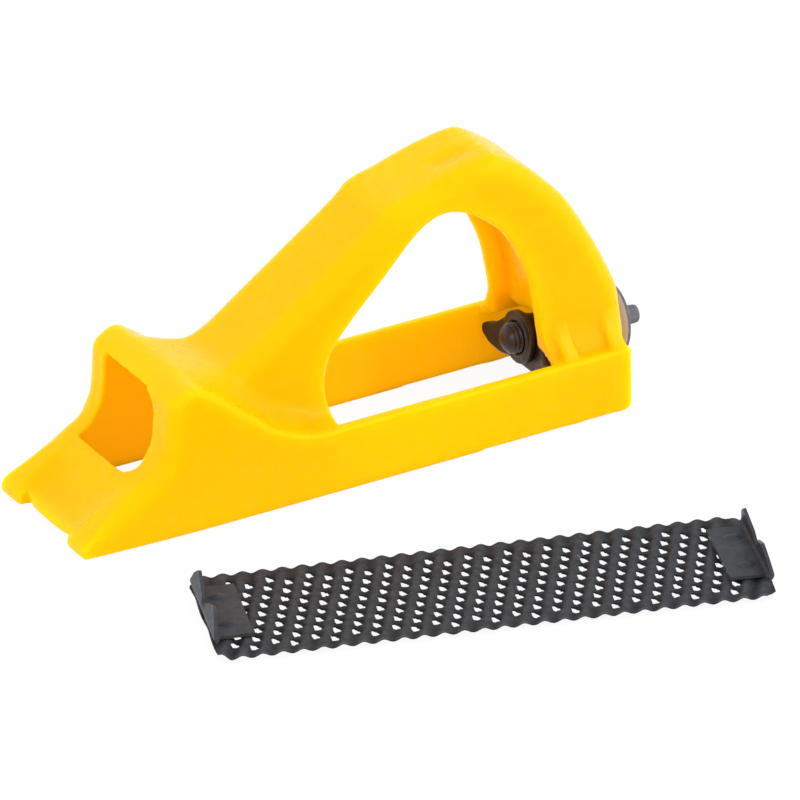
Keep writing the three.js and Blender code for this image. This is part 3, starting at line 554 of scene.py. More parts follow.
class SurfaceNet:
    """Turns a solid given by a signed field into a mesh, on a grid of straight lines."""

    REACH = 0.12
    PASSES = 4
    LEAST_SLOPE = 0.2
    LONGEST_MOVE = 0.3

    def __init__(self, solid: Field, lines: tuple[Array, Array, Array]) -> None:
        """Keeps the field and the grid.

        Args:
            solid: The field, negative inside the solid.
            lines: The places of the grid's lines along X, Y and Z.
        """
        self.solid = solid
        self.lines = lines

    def gradient(self, points: Array) -> Array:
        """Measures how the field rises at points.

        Args:
            points: An array of places.

        Returns:
            The gradient at each.
        """
        slopes = []
        for axis in range(3):
            step = np.zeros(3)
            step[axis] = self.REACH
            ahead = self.solid(*(points + step).T)
            behind = self.solid(*(points - step).T)
            slopes.append((ahead - behind) / (2 * self.REACH))
        return np.stack(slopes, axis=1)

    def skin(self) -> Skin:
        """Meshes the field's zero level and draws each point onto it.

        Returns:
            The mesh, with a normal for every point.
        """
        xs, ys, zs = self.lines
        value = self.solid(xs[:, None, None], ys[None, :, None], zs[None, None, :])
        inside = value < 0
        size = inside.shape
        count = np.zeros([n - 1 for n in size], int)
        for i in (0, 1):
            for j in (0, 1):
                for k in (0, 1):
                    count += inside[i:size[0] - 1 + i, j:size[1] - 1 + j, k:size[2] - 1 + k]
        mixed = (count > 0) & (count < 8)
        number = np.full(mixed.shape, -1)
        number[mixed] = np.arange(mixed.sum())
        cells = np.argwhere(mixed)
        total = np.zeros((len(cells), 3))
        hits = np.zeros((len(cells), 1))
        for axis in range(3):
            for a in (0, 1):
                for b in (0, 1):
                    start = cells.copy()
                    start[:, (axis + 1) % 3] += a
                    start[:, (axis + 2) % 3] += b
                    end = start.copy()
                    end[:, axis] += 1
                    v0 = value[tuple(start.T)]
                    v1 = value[tuple(end.T)]
                    crossed = ((v0 < 0) != (v1 < 0))[:, None]
                    share = np.where(crossed[:, 0], v0 / np.where(v0 == v1, 1, v0 - v1), 0)[:, None]
                    spot = self.corner(start) * (1 - share) + self.corner(end) * share
                    total += np.where(crossed, spot, 0)
                    hits += crossed
        points = total / np.maximum(hits, 1)
        for _ in range(self.PASSES):
            slope = self.gradient(points)
            level = self.solid(*points.T)[:, None]
            square = np.maximum((slope * slope).sum(axis=1, keepdims=True), self.LEAST_SLOPE)
            points = points - np.clip(level / square, -self.LONGEST_MOVE, self.LONGEST_MOVE) * slope
        slope = self.gradient(points)
        normals = slope / np.maximum(np.linalg.norm(slope, axis=1, keepdims=True), 1e-6)
        return Skin(points, self.quads(inside, number), normals)

    def corner(self, index: Array) -> Array:
        """Gives the places of grid corners by their numbers."""
        return np.stack([self.lines[axis][index[:, axis]] for axis in range(3)], axis=1)

    @staticmethod
    def quads(inside: Array, number: Array) -> Array:
        """Joins the cells' points into faces, one for each grid edge that crosses the surface.

        Args:
            inside: Which grid corners lie in the solid.
            number: Each cell's point, or -1.

        Returns:
            The faces, wound so that they point outwards.
        """
        faces = []
        for axis in range(3):
            u, v = (axis + 1) % 3, (axis + 2) % 3
            first = np.take(inside, range(inside.shape[axis] - 1), axis)
            second = np.take(inside, range(1, inside.shape[axis]), axis)
            for solid_first in (True, False):
                spots = np.argwhere((first == solid_first) & (second != solid_first))
                ok = (spots[:, u] > 0) & (spots[:, v] > 0)
                ok &= (spots[:, u] < inside.shape[u] - 1) & (spots[:, v] < inside.shape[v] - 1)
                spots = spots[ok]
                ring = []
                for du, dv in ((-1, -1), (0, -1), (0, 0), (-1, 0)):
                    cell = spots.copy()
                    cell[:, u] += du
                    cell[:, v] += dv
                    ring.append(number[tuple(cell.T)])
                faces.append(np.stack(ring if solid_first else ring[::-1], axis=1))
        return np.concatenate(faces)


def graded(stops: tuple[float, ...], steps: tuple[float, ...]) -> Array:
    """Places grid lines with a spacing of its own between each two stops.

    Args:
        stops: The places where the spacing changes.
        steps: The wanted spacing in each stretch.

    Returns:
        The places of all lines.
    """
    runs = []
    for low, high, step in zip(stops, stops[1:], steps):
        runs.append(np.linspace(low, high, max(1, round((high - low) / step)), endpoint=False))
    return np.append(np.concatenate(runs), stops[-1])


@dataclass
class ScrewLine:
    """The screw's axis in the plane's own frame: a start on the nut's face and a direction to the heel."""

    start: Array
    along: Array

    @staticmethod
    def from_joint(name: str, into: Matrix) -> "ScrewLine":
        """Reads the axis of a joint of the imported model.

        Args:
            name: The joint.
            into: The step from the shared frame into the plane's own frame.

        Returns:
            The axis, pointing to the heel.
        """
        joint = next(j for j in frame["joints"] if j["name"] == name)
        start = into @ Vector(joint["pos_m"])
        along = -(into.to_3x3() @ Vector(joint["axis"])).normalized()
        return ScrewLine(np.array(start), np.array(along))

    def reach(self, x: Array, y: Array, z: Array) -> tuple[Array, Array]:
        """Gives the distance along the axis and the distance from it."""
        dx, dy, dz = x - self.start[0], y - self.start[1], z - self.start[2]
        s = dx * self.along[0] + dy * self.along[1] + dz * self.along[2]
        square = dx * dx + dy * dy + dz * dz - s * s
        return s, np.sqrt(np.maximum(square, 0))

    def place(self) -> Matrix:
        """Gives the frame whose Z runs along the axis, Y runs to the plane's right and X rises."""
        z = Vector(self.along)
        y = Vector((0, -1, 0))
        x = y.cross(z)
        return Matrix.Translation(Vector(self.start)) @ Matrix((x, y, z)).transposed().to_4x4()


@dataclass
class PlaneBody:
    """The one-piece moulded body: nose, shoulders, rails and grip."""

    screw: ScrewLine
    length: float = 165.2
    half_width: float = 23.0
    rail_height: float = 18.2
    rail_wall: float = 3.0
    skin_wall: float = 2.8
    below: float = 12.0
    past_heel: float = 14.0
    low_break: tuple[float, float] = (100.0, 120.0)
    low_softness: float = 0.3
    overlap: float = 1.0
    soft_rim: float = 0.3
    sole_kick: float = 1.0
    sole_kick_length: float = 45.0
    sole_edge: float = 0.7
    heel_round: float = 2.5
    heel_edge: float = 1.2
    horn_height: float = 41.0
    horn_reach: float = 36.0
    shoulder_run: float = 36.0
    outer_edge_places: tuple[float, ...] = (0, 3, 8, 14, 24, 28, 33, 40, 50, 62, 70)
    outer_edge_radii: tuple[float, ...] = (0.8, 1.2, 3.2, 4.8, 4.8, 3.4, 2.2, 2.5, 2.5, 1.6, 1.2)
    grip_height: float = 78.4
    grip_setback: float = 5.0
    grip_overhang: float = 2.4
    half_grip: float = 14.0
    grip_edge: float = 5.2
    grip_softness: float = 0.8
    bulge_heights: tuple[float, ...] = (15.5, 17.2, 19.5, 25.0, 28.0)
    bulge_reaches: tuple[float, ...] = (0, 1.3, 2.6, 3.1, 30)
    bulge_fade: tuple[float, float] = (1.5, 5.0)
    bulge_top: float = 26.0
    opening_height: float = 66.8
    opening_front: float = 77.5
    opening_rear: float = 143.0
    opening_spare: float = 6.0
    opening_softness: float = 0.6
    channel_depth: float = 4.5
    channel_edge: float = 1.2
    channel_rim: float = 0.7
    front_hollow_share: float = 0.3
    rear_hollow_share: float = 0.83
    arm_edge: float = 1.0
    rim_heights: tuple[float, float] = (18.0, 27.0)
    rim_radii: tuple[float, float] = (0.6, 1.5)
    slot_edge: float = 0.4
    slot_rim: float = 0.45
    chamber_top: float = 23.5
    chamber_front: float = 138.5
    chamber_lean: float = 0.8
    chamber_edge: float = 1.0
    chamber_rim: float = 0.6
    foot_half_width: float = 18.6
    foot_run: tuple[float, float] = (105.0, 128.0)
    foot_top: float = 28.0
    foot_height: float = 9.5
    foot_power: float = 1.6
    foot_most: float = 1.1
    gusset_places: tuple[float, float] = (148.0, 162.3)
    gusset_half: float = 2.3
    gusset_rise: float = 3.2
    gusset_inset: float = 0.8
    gusset_edge: float = 1.2
    gusset_fillet: float = 1.0
    fillet_places: tuple[float, ...] = (29, 36, 48, 105, 128)
    fillet_radii: tuple[float, ...] = (3.2, 5.2, 8.0, 8.0, 0.9)
    dent_middle: tuple[float, float] = (121.4, -2.6)
    dent_depth: float = 0.9
    dent_along: tuple[float, float] = (1.8, 9.0)
    dent_across: tuple[float, float] = (0.3, 4.6)
    dent_from: tuple[float, float] = (55.0, 60.0)
    lip_half_width: float = 12.9
    lip_reach: float = 2.6
    lip_bow: float = 1.2
    lip_rise: float = 2.2
    lip_length: float = 10.0
    lip_edge: float = 0.5
    trough_half_width: float = 15.5
    trough_depth: float = 2.3
    trough_power: int = 4
    trough_start: tuple[float, float] = (-2.0, 6.0)
    trough_end: tuple[float, float] = (8.0, 17.0)
    window_half_width: float = 13.6
    window_offset: float = 0.8
    window_bottom: float = 16.2
    window_top: float = 37.5
    window_near_top_round: float = 7.0
    window_near_sill_round: float = 4.55
    window_far_top_round: float = 1.5
    window_far_sill_round: float = 1.2
    window_rim: float = 0.45
    window_depth: float = 5.0
    window_skin: float = 1.6
    sill_slope: float = 1.6
    thin_heights: tuple[float, float, float, float] = (10.0, 15.0, 37.0, 39.0)
    thin_end: tuple[float, float] = (30.0, 34.0)
    nose_front: float = 6.3
    nose_edge: float = 2.0
    stud_radius: float = 4.3
    stud_gap: float = 0.35
    seat_radius: float = 6.5
    seat_start: float = 22.16
    seat_rim: float = 0.4
    flange_room: tuple[float, float, float] = (7.7, -1.0, 4.5)
    spacing_along: Spacing = ((-1.1, 8, 170.3), (0.6, 0.78))
    spacing_across: Spacing = ((0, 10.1, 14.5, 19.3, 23.7), (1.05, 0.48, 0.95, 0.44))
    spacing_up: Spacing = ((-1.13, 20.1, 80.3), (0.7, 0.8))
    nose_shares: Points = field(default_factory=lambda: [
        (0.0, 0.06), (0.008, 0.095), (0.04, 0.128), (0.114, 0.168), (0.314, 0.285), (0.506, 0.392),
        (0.61, 0.447), (0.672, 0.524), (0.712, 0.59), (0.733, 0.705), (0.745, 0.8), (0.757, 0.9),
        (0.79, 0.945), (0.86, 0.98), (0.93, 1.0), (1.0, 0.99),
    ])
    shoulder_shares: Points = field(default_factory=lambda: [
        (0.178, 0.785), (0.303, 0.605), (0.453, 0.412), (0.553, 0.272), (0.636, 0.193), (0.722, 0.123),
        (0.847, 0.045), (0.94, 0.006), (1.0, 0.0),
    ])
    grip_shares: Points = field(default_factory=lambda: [
        (0.0, 0.453), (0.0225, 0.485), (0.0485, 0.496), (0.111, 0.482), (0.142, 0.485), (0.186, 0.518),
        (0.241, 0.582), (0.458, 0.839), (0.49, 0.888), (0.517, 0.914), (0.568, 0.936), (0.622, 0.964),
        (0.677, 0.987), (0.7265, 1.0), (0.754, 0.995), (0.813, 0.93), (0.866, 0.846), (0.9135, 0.75),
        (0.9665, 0.593), (0.994, 0.497), (1.019, 0.395), (1.0225, 0.319), (1.018, 0.236),
    ])
    opening_shares: Points = field(default_factory=lambda: [
        (0.0, 0.3), (0.0, 0.42), (0.03, 0.53), (0.125, 0.645), (0.28, 0.796), (0.405, 0.922),
        (0.49, 0.982), (0.575, 1.0), (0.67, 0.972), (0.76, 0.91), (0.85, 0.82), (0.935, 0.65),
        (0.972, 0.49), (0.99, 0.36), (1.0, 0.27),
    ])

    def __post_init__(self) -> None:
        """Draws the three side views that the body is cut from."""
        nose = [(x * self.horn_reach, z * self.horn_height) for x, z in self.nose_shares]
        rise = self.horn_height - self.rail_height
        shoulder = [(self.horn_reach + x * self.shoulder_run, self.rail_height + z * rise)
                    for x, z in self.shoulder_shares]
        self.top_line = spline([*nose, *shoulder])
        past = self.length + self.past_heel
        low_front, low_rear = self.low_break
        under = [(past, 0.0), (low_rear, 0.0), (low_front, -self.below), (0.0, -self.below)]
        self.low = SideView([*self.top_line, (past, self.rail_height), *under], self.low_softness)
        front = self.horn_reach - self.grip_setback
        run = self.length - front
        back_line = spline([(front + x * run, z * self.grip_height) for x, z in self.grip_shares])
        middle = self.rail_height / 2
        rear = self.length + self.grip_overhang
        self.grip = SideView([(front, middle), *back_line, (rear, middle)], self.grip_softness)
        span = self.opening_rear - self.opening_front
        rim = spline([(self.opening_front + x * span, z * self.opening_height)
                      for x, z in self.opening_shares])
        first, last = (self.opening_front, -self.below), (self.opening_rear, -self.below)
        self.opening = SideView([first, *rim, last], self.opening_softness)

    def sole(self, x: Array) -> Array:
        """Gives the height of the soles, which rise a little towards the toe."""
        share = np.maximum(0, 1 - x / self.sole_kick_length)
        return self.sole_kick * share * share

    def rear(self, side: Array, z: Array) -> Array:
        """Gives how far back the body reaches: a rounded heel, and the grip's bulge in the middle."""
        curve = 1 - np.clip(z / self.heel_round, 0, 1)
        heel = self.heel_round * (1 - np.sqrt(1 - curve * curve))
        bulge = np.interp(z, self.bulge_heights, self.bulge_reaches)
        inside, outside = self.bulge_fade
        middle = 1 - ease(side, self.half_grip - inside, self.half_grip + outside)
        return self.length - heel + bulge * np.where(z < self.bulge_top, middle, 1)

    def crown_dent(self, x: Array, y: Array, z: Array) -> Array:
        """Gives the depth of the soft dent on top of the grip."""
        along = 1 - ease(np.abs(x - self.dent_middle[0]), *self.dent_along)
        across = 1 - ease(np.abs(y - self.dent_middle[1]), *self.dent_across)
        return self.dent_depth * along * across * ease(z, *self.dent_from)

    def upper(self, x: Array, y: Array, z: Array) -> Array:
        """The nose, shoulders and rails in side view, with the soft dish of the toe."""
        across = np.clip(1 - (y / self.trough_half_width) ** self.trough_power, 0, 1)
        along = ease(x, *self.trough_start) * (1 - ease(x, *self.trough_end))
        return self.low(x, z) + self.trough_depth * across * along

    def gussets(self, x: Array, side: Array, z: Array) -> Array:
        """The two gussets between the grip's foot and the ledge."""
        first, second = (np.abs(x - place) - self.gusset_half for place in self.gusset_places)
        near = np.minimum(first, second)
        slant = (z - self.rail_height - self.gusset_rise + side - self.foot_half_width) / math.sqrt(2)
        block = round_max(near, side - self.half_width + self.gusset_inset, self.gusset_edge)
        return round_max(block, slant, self.gusset_edge)

    def outside(self, x: Array, y: Array, z: Array) -> Array:
        """The body before anything is taken out of it."""
        side = np.abs(y)
        edge = np.interp(x, self.outer_edge_places, self.outer_edge_radii)
        low = round_max(self.upper(x, y, z), side - self.half_width, edge)
        profile = self.grip(x, z) + self.crown_dent(x, y, z)
        flare = np.clip((self.foot_top - z) / self.foot_height, 0, self.foot_most) ** self.foot_power
        skirt = (self.foot_half_width - self.half_grip) * ease(x, *self.foot_run) * flare
        grip = round_max(profile, side - self.half_grip - skirt, self.grip_edge)
        solid = round_min(low, grip, np.interp(x, self.fillet_places, self.fillet_radii))
        solid = round_min(solid, self.gussets(x, side, z), self.gusset_fillet)
        solid = round_max(solid, x - self.rear(side, z), self.heel_edge)
        return round_max(solid, self.sole(x) - z, self.sole_edge)

    def nose_hollow(self, x: Array, y: Array, z: Array) -> Array:
        """The hollow under the nose and the shoulders, whose wall is thinner round the window."""
        low_start, low_end, high_start, high_end = self.thin_heights
        level = ease(z, low_start, low_end) * (1 - ease(z, high_start, high_end))
        thin = level * (1 - ease(x, *self.thin_end))
        wall = self.skin_wall - (self.skin_wall - self.window_skin) * thin
        inner = self.half_width - self.rail_wall
        hollow = round_max(self.upper(x, y, z) + wall, np.abs(y) - inner, self.nose_edge)
        hollow = np.maximum(hollow, self.nose_front - x)
        return np.maximum(hollow, x - self.opening_front - self.overlap)

    def window(self, x: Array, y: Array, z: Array) -> Array:
        """The window in the nose, with a sloping sill and rounder corners on its near side."""
        aside = np.abs(y - self.window_offset) - self.window_half_width
        near = y < self.window_offset
        top_round = np.where(near, self.window_near_top_round, self.window_far_top_round)
        window = round_max(aside, z - self.window_top, top_round)
        nose = self.top_line[:len(self.top_line) // 2]
        places, heights = zip(*nose)
        front = float(np.interp(self.window_bottom, heights, places))
        fall = self.window_bottom - (x - front) * self.sill_slope
        sill = (fall - z) / math.hypot(1, self.sill_slope)
        sill_round = np.where(near, self.window_near_sill_round, self.window_far_sill_round)
        window = round_max(window, sill, sill_round)
        return np.maximum(window, x - self.horn_reach + self.window_depth)

    def nose_cuts(self, x: Array, y: Array, z: Array) -> list[tuple[Array, Array | float]]:
        """What is taken out of the nose, each with the radius of its edges."""
        aside = np.abs(y) - self.lip_half_width
        bow = self.lip_reach - self.lip_bow * (1 - (y / self.lip_half_width) ** 2)
        lip = round_max(x - bow, aside, self.lip_edge)
        under = np.maximum(np.maximum(aside, z - self.lip_rise), x - self.lip_reach - self.lip_length)
        return [
            (self.nose_hollow(x, y, z), self.soft_rim), (self.window(x, y, z), self.window_rim),
            (lip, self.lip_edge), (under, self.soft_rim),
        ]

    def grip_cuts(self, x: Array, y: Array, z: Array) -> list[tuple[Array, Array | float]]:
        """What is taken out of the grip, each with the radius of its edges."""
        side = np.abs(y)
        profile = self.grip(x, z)
        rim_view = self.opening(x, z)
        inner = self.half_grip - self.rail_wall
        opening = np.maximum(rim_view, side - self.half_grip - self.opening_spare)
        channel = round_max(rim_view - self.channel_depth, side - inner, self.channel_edge)
        channel = np.maximum(channel, self.rail_height - z)
        web = self.channel_depth + self.skin_wall
        hollow = round_max(profile + self.skin_wall, side - inner, self.arm_edge)
        hollow = round_max(hollow, web - rim_view, self.arm_edge)
        span = self.opening_rear - self.opening_front
        front = np.maximum(hollow, x - self.opening_front - self.front_hollow_share * span)
        front = np.maximum(front, self.rail_height / 2 - z)
        rear = np.maximum(hollow, self.opening_front + self.rear_hollow_share * span - x)
        rear = np.maximum(rear, self.chamber_top - self.overlap - z)
        rim = np.interp(z, self.rim_heights, self.rim_radii)
        return [(opening, rim), (channel, self.channel_rim), (front, self.soft_rim), (rear, self.soft_rim)]

    def rail_cuts(self, x: Array, y: Array, z: Array) -> list[tuple[Array, Array | float]]:
        """The slot between the rails, the chamber, the screw's hole and seat, and the nut's room."""
        side = np.abs(y)
        inner = self.half_width - self.rail_wall
        narrow = self.half_grip - self.rail_wall
        slot_ends = np.maximum(self.opening_front - x, x - self.opening_rear)
        slot = round_max(side - inner, slot_ends, self.slot_edge)
        slot = np.maximum(slot, z - self.rail_height - self.overlap)
        shelf = self.rail_height - self.skin_wall
        flare = (inner - narrow) / 2
        half = np.interp(z, [shelf, shelf + flare], [inner, narrow])
        ends = np.maximum(self.chamber_front - x, x - self.length + self.rail_wall)
        chamber = round_max((side - half) * self.chamber_lean, ends, self.chamber_edge)
        chamber = round_max(chamber, z - self.chamber_top, self.chamber_edge)
        along, away = self.screw.reach(x, y, z)
        hole = np.maximum(away - self.stud_radius - self.stud_gap, -along)
        seat = np.maximum(away - self.seat_radius, self.seat_start - along)
        room_radius, room_start, room_end = self.flange_room
        room = np.maximum(away - room_radius, np.maximum(room_start - along, along - room_end))
        return [
            (slot, self.slot_rim), (chamber, self.chamber_rim), (hole, self.soft_rim),
            (seat, self.seat_rim), (room, self.soft_rim),
        ]

    def solid(self, x: Array, y: Array, z: Array) -> Array:
        """The whole body as a signed field."""
        value = self.outside(x, y, z)
        for cuts in (self.nose_cuts, self.grip_cuts, self.rail_cuts):
            for cut, edge in cuts(x, y, z):
                value = round_max(value, -cut, edge)
        return value

    def build(self, place: Matrix) -> bpy.types.Object:
        """Meshes the body, with a closer grid at its walls, and hides the solid that it stands for."""
        half = graded(*self.spacing_across)
        ys = np.concatenate([-half[:0:-1], half])
        lines = (graded(*self.spacing_along), ys, graded(*self.spacing_up))
        piece = SurfaceNet(self.solid, lines).skin().piece("body", place)
        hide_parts("body_shell")
        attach(piece, "plane_body")
        return piece


def rounded(line: Points, radius: float, steps: int = 4) -> Points:
    """Rounds the inner corners of an open line.

    Args:
        line: Its corners.
        radius: The wanted radius, kept under half of the shorter neighbour.
        steps: How many steps each rounding has.

    Returns:
        The rounded line.
    """
    spots = [np.array(spot, float) for spot in line]
    curve = [spots[0]]
    for before, corner, after in zip(spots, spots[1:], spots[2:]):
        back, ahead = before - corner, after - corner
        reach = min(radius, 0.45 * float(np.linalg.norm(back)), 0.45 * float(np.linalg.norm(ahead)))
        start = corner + back / np.linalg.norm(back) * reach
        end = corner + ahead / np.linalg.norm(ahead) * reach
        for t in np.linspace(0, 1, steps + 1):
            curve.append(start * (1 - t) ** 2 + corner * 2 * t * (1 - t) + end * t * t)
    curve.append(spots[-1])
    return [(float(a), float(b)) for a, b in curve]


def turned(line: Points, closed: bool, steps: int = 96) -> Skin:
    """Turns a line of radius and distance pairs round the Z axis.

    Args:
        line: The line, which starts and ends on the axis unless it is closed.
        closed: Whether the line's end joins its start, as on a ring.
        steps: How many steps make a full turn.

    Returns:
        The mesh.
    """
    turns = np.arange(steps) * 2 * math.pi / steps
    rings = np.array([[(r * math.cos(a), r * math.sin(a), s) for a in turns] for r, s in line])
    count = len(line)
    faces = []
    for i in range(count if closed else count - 1):
        for j in range(steps):
            a, b = i * steps, (i + 1) % count * steps
            faces.append((a + j, a + (j + 1) % steps, b + (j + 1) % steps, b + j))
    return Skin(rings.reshape(-1, 3), faces)


def tidy(piece: bpy.types.Object, sharp: float = 40.0) -> bpy.types.Object:
    """Joins double points, turns the faces outwards and keeps edges over an angle sharp.

    Args:
        piece: The object.
        sharp: The angle in degrees.

    Returns:
        The same object.
    """
    bm = bmesh.new()
    bm.from_mesh(piece.data)
    bmesh.ops.remove_doubles(bm, verts=bm.verts, dist=2e-6)
    bmesh.ops.dissolve_degenerate(bm, edges=bm.edges, dist=1e-7)
    bmesh.ops.recalc_face_normals(bm, faces=bm.faces)
    bm.to_mesh(piece.data)
    bm.free()
    piece.data.shade_smooth()
    piece.data.set_sharp_from_angle(angle=math.radians(sharp))
    return piece


def thickened(piece: bpy.types.Object, thickness: float) -> bpy.types.Object:
    """Gives a sheet its thickness, half to each side.

    Args:
        piece: The sheet.
        thickness: In millimetres.

    Returns:
        The same object.
    """
    solidify = piece.modifiers.new("thickness", "SOLIDIFY")
    solidify.thickness = thickness * METRES
    solidify.offset = 0.0
    solidify.use_even_offset = False
    depsgraph = bpy.context.evaluated_depsgraph_get()
    mesh = bpy.data.meshes.new_from_object(piece.evaluated_get(depsgraph))
    piece.modifiers.clear()
    piece.data = mesh
    return piece


@dataclass
class Tensioner:
    """The cast cross bar with drawn-down tips, and the flanged nut pressed into it."""

    screw: ScrewLine
    flange_radius: float = 7.3
    flange_thickness: float = 1.6
    ring_radius: float = 5.3
    ring_rise: float = 0.35
    ring_bevel: float = 0.25
    barrel_radius: float = 5.7
    barrel_setback: float = 1.2
    bore_radius: float = 4.42
    bore_flare: float = 0.35
    seat_gap: float = 0.3
    thickness: float = 3.6
    half_span: float = 17.7
    half_root: float = 7.3
    root_step: float = 2.0
    root_drop: float = 0.8
    tip_low: float = -5.4
    tip_top: float = -3.0
    shoulder_out: float = 13.6
    shoulder_top: float = -1.8
    knee_out: float = 14.7
    knee_low: float = -7.9
    foot_out: float = 10.2
    foot_low: float = -9.2
    root_low: float = -8.7
    root_top: float = 4.2
    tip_forward: float = 2.4
    sleeve_radius: float = 5.6
    sleeve_length: float = 9.5
    sleeve_edge: float = 0.6
    sleeve_fillet: float = 1.4
    press_gap: float = 0.25
    cast_edge: float = 0.9
    bore_edge: float = 0.2
    nut_edge: float = 0.3
    nut_sharp: float = 32.0
    front_softness: float = 0.5
    table_margin: float = 20.0
    grid_step: float = 0.42
    grid: tuple[tuple[float, float], ...] = ((-10.2, 7.6), (-18.9, 19.0), (-1.6, 16.6))

    def __post_init__(self) -> None:
        """Draws the bar's front view, shifted so that it fits the table."""
        self.shift = self.half_span + self.table_margin
        inner = self.half_root - self.root_step
        half = [
            (inner, self.root_low), (self.foot_out, self.foot_low), (self.knee_out, self.knee_low),
            (self.half_span, self.tip_low), (self.half_span, self.tip_top),
            (self.shoulder_out, self.shoulder_top), (self.half_root, self.root_top - self.root_drop),
            (inner, self.root_top),
        ]
        front = [*half, *((-y, h) for y, h in reversed(half))]
        moved = [(y + self.shift, h + self.shift) for y, h in front]
        self.front = SideView(moved, self.front_softness)

    def solid(self, x: Array, y: Array, z: Array) -> Array:
        """The bar as a signed field in the screw's frame, where Z runs along the axis and X rises."""
        start = self.flange_thickness + self.seat_gap
        middle = start + self.thickness / 2
        reach = (np.abs(y) - self.half_root) / (self.half_span - self.half_root)
        bent = self.tip_forward * np.clip(reach, 0, 1)
        front = self.front(y + self.shift, x + self.shift)
        plate = round_max(front, np.abs(z - middle + bent) - self.thickness / 2, self.cast_edge)
        away = np.hypot(x, y)
        end = start + self.thickness + self.sleeve_length
        ends = np.abs(z - (middle + end) / 2) - (end - middle) / 2
        sleeve = round_max(away - self.sleeve_radius, ends, self.sleeve_edge)
        cast = round_min(plate, sleeve, self.sleeve_fillet)
        return round_max(cast, self.bore_radius + self.press_gap - away, self.bore_edge)

    def bar(self, place: Matrix) -> bpy.types.Object:
        """Meshes the bar."""
        axes = tuple(np.arange(low, high, self.grid_step) for low, high in self.grid)
        return SurfaceNet(self.solid, axes).skin().piece("cross_bar", place)

    def nut(self, place: Matrix) -> bpy.types.Object:
        """Turns the flanged nut, with the raised ring on its face."""
        face = -self.ring_rise
        back = self.flange_thickness + self.seat_gap + self.thickness - self.barrel_setback
        line = [
            (self.bore_radius, self.ring_bevel), (self.bore_radius + self.bore_flare, face),
            (self.ring_radius, face), (self.ring_radius + self.ring_bevel, 0), (self.flange_radius, 0),
            (self.flange_radius, self.flange_thickness), (self.barrel_radius, self.flange_thickness),
            (self.barrel_radius, back), (self.bore_radius, back),
        ]
        return turned(rounded([*line, line[0]], self.nut_edge), True).piece("flanged_nut", place)

    def build(self, place: Matrix) -> list[tuple[bpy.types.Object, Finish]]:
        """Makes both pieces and hides the solids that they stand for."""
        frame_of = place @ self.screw.place()
        bar = self.bar(frame_of)
        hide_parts("tensioner_bar")
        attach(bar, "tensioner")
        nut = tidy(self.nut(frame_of), self.nut_sharp)
        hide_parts("flange_nut")
        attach(nut, "tensioner")
        return [(bar, Finish.DARK_CASTING), (nut, Finish.DARK_STEEL)]


@dataclass
class ThumbScrew:
    """The threaded stud with its rounded tip, and the cast knob on its rear end."""

    screw: ScrewLine
    radius: float = 4.3
    core_share: float = 0.88
    pitch: float = 1.25
    crest_slope: float = 1.5
    crest_drop: float = 0.2
    tip: float = 4.6
    dome_length: float = 2.6
    stud_end: float = 28.1
    steps_around: int = 60
    steps_per_turn: int = 8
    knob_start: float = 22.6
    collar_radius: float = 5.5
    collar_end: float = 27.8
    disc_start: float = 28.4
    disc_end: float = 29.2
    disc_radius: float = 10.4
    cone: Points = field(default_factory=lambda: [(7.0, 31.0), (4.55, 32.8), (2.65, 33.9)])
    hub_radius: float = 2.45
    hub_end: float = 36.9
    knob_edge: float = 0.4
    stud_sharp: float = 60.0
    knob_sharp: float = 50.0

    def stud(self, place: Matrix) -> bpy.types.Object:
        """Winds the thread as one helix that fades out at the rounded tip."""
        around = self.steps_around
        core = self.radius * self.core_share
        steps = int((self.stud_end + self.tip) / self.pitch * self.steps_per_turn)
        along = np.linspace(-self.tip, self.stud_end, steps + 1)[:, None]
        turns = np.arange(around)[None, :] / around
        wave = 1 - np.abs(2 * np.mod(along / self.pitch - turns, 1) - 1)
        crest = np.clip(wave * self.crest_slope - self.crest_drop, 0, 1)
        share = np.clip((along + self.tip) / self.dome_length, 0, 1)
        dome = np.sqrt(1 - (1 - share) ** 2)
        radius = dome * (core + (self.radius - core) * crest * np.clip(share * 2 - 1, 0, 1))
        angle = 2 * math.pi * turns
        rings = np.stack([radius * np.cos(angle), radius * np.sin(angle), along + 0 * turns], axis=2)
        points = np.concatenate([rings.reshape(-1, 3), [[0, 0, self.stud_end]]])
        faces: list[tuple[int, ...]] = []
        for i in range(steps):
            for j in range(around):
                a, b = i * around, (i + 1) * around
                faces.append((a + j, a + (j + 1) % around, b + (j + 1) % around, b + j))
        last = len(points) - 1
        for j in range(around):
            faces.append((steps * around + j, steps * around + (j + 1) % around, last))
        return Skin(points, faces).piece("stud", place)

    def knob(self, place: Matrix) -> bpy.types.Object:
        """Turns the knob: a collar on the heel, a disc, and a hub that narrows to the stub."""
        line = [
            (0, self.knob_start), (self.collar_radius, self.knob_start),
            (self.collar_radius, self.collar_end), (self.disc_radius, self.disc_start),
            (self.disc_radius, self.disc_end), *self.cone, (self.hub_radius, self.hub_end),
            (0, self.hub_end),
        ]
        return turned(rounded(line, self.knob_edge), False).piece("knob", place)

    def build(self, place: Matrix) -> list[tuple[bpy.types.Object, Finish]]:
        """Makes both pieces and hides the solids that they stand for."""
        frame_of = place @ self.screw.place()
        stud = tidy(self.stud(frame_of), self.stud_sharp)
        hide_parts("threaded_stud")
        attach(stud, "thumb_screw")
        knob = tidy(self.knob(frame_of), self.knob_sharp)
        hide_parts("thumb_knob")
        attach(knob, "thumb_screw")
        return [(stud, Finish.DARK_STEEL), (knob, Finish.CAST_GREY)]


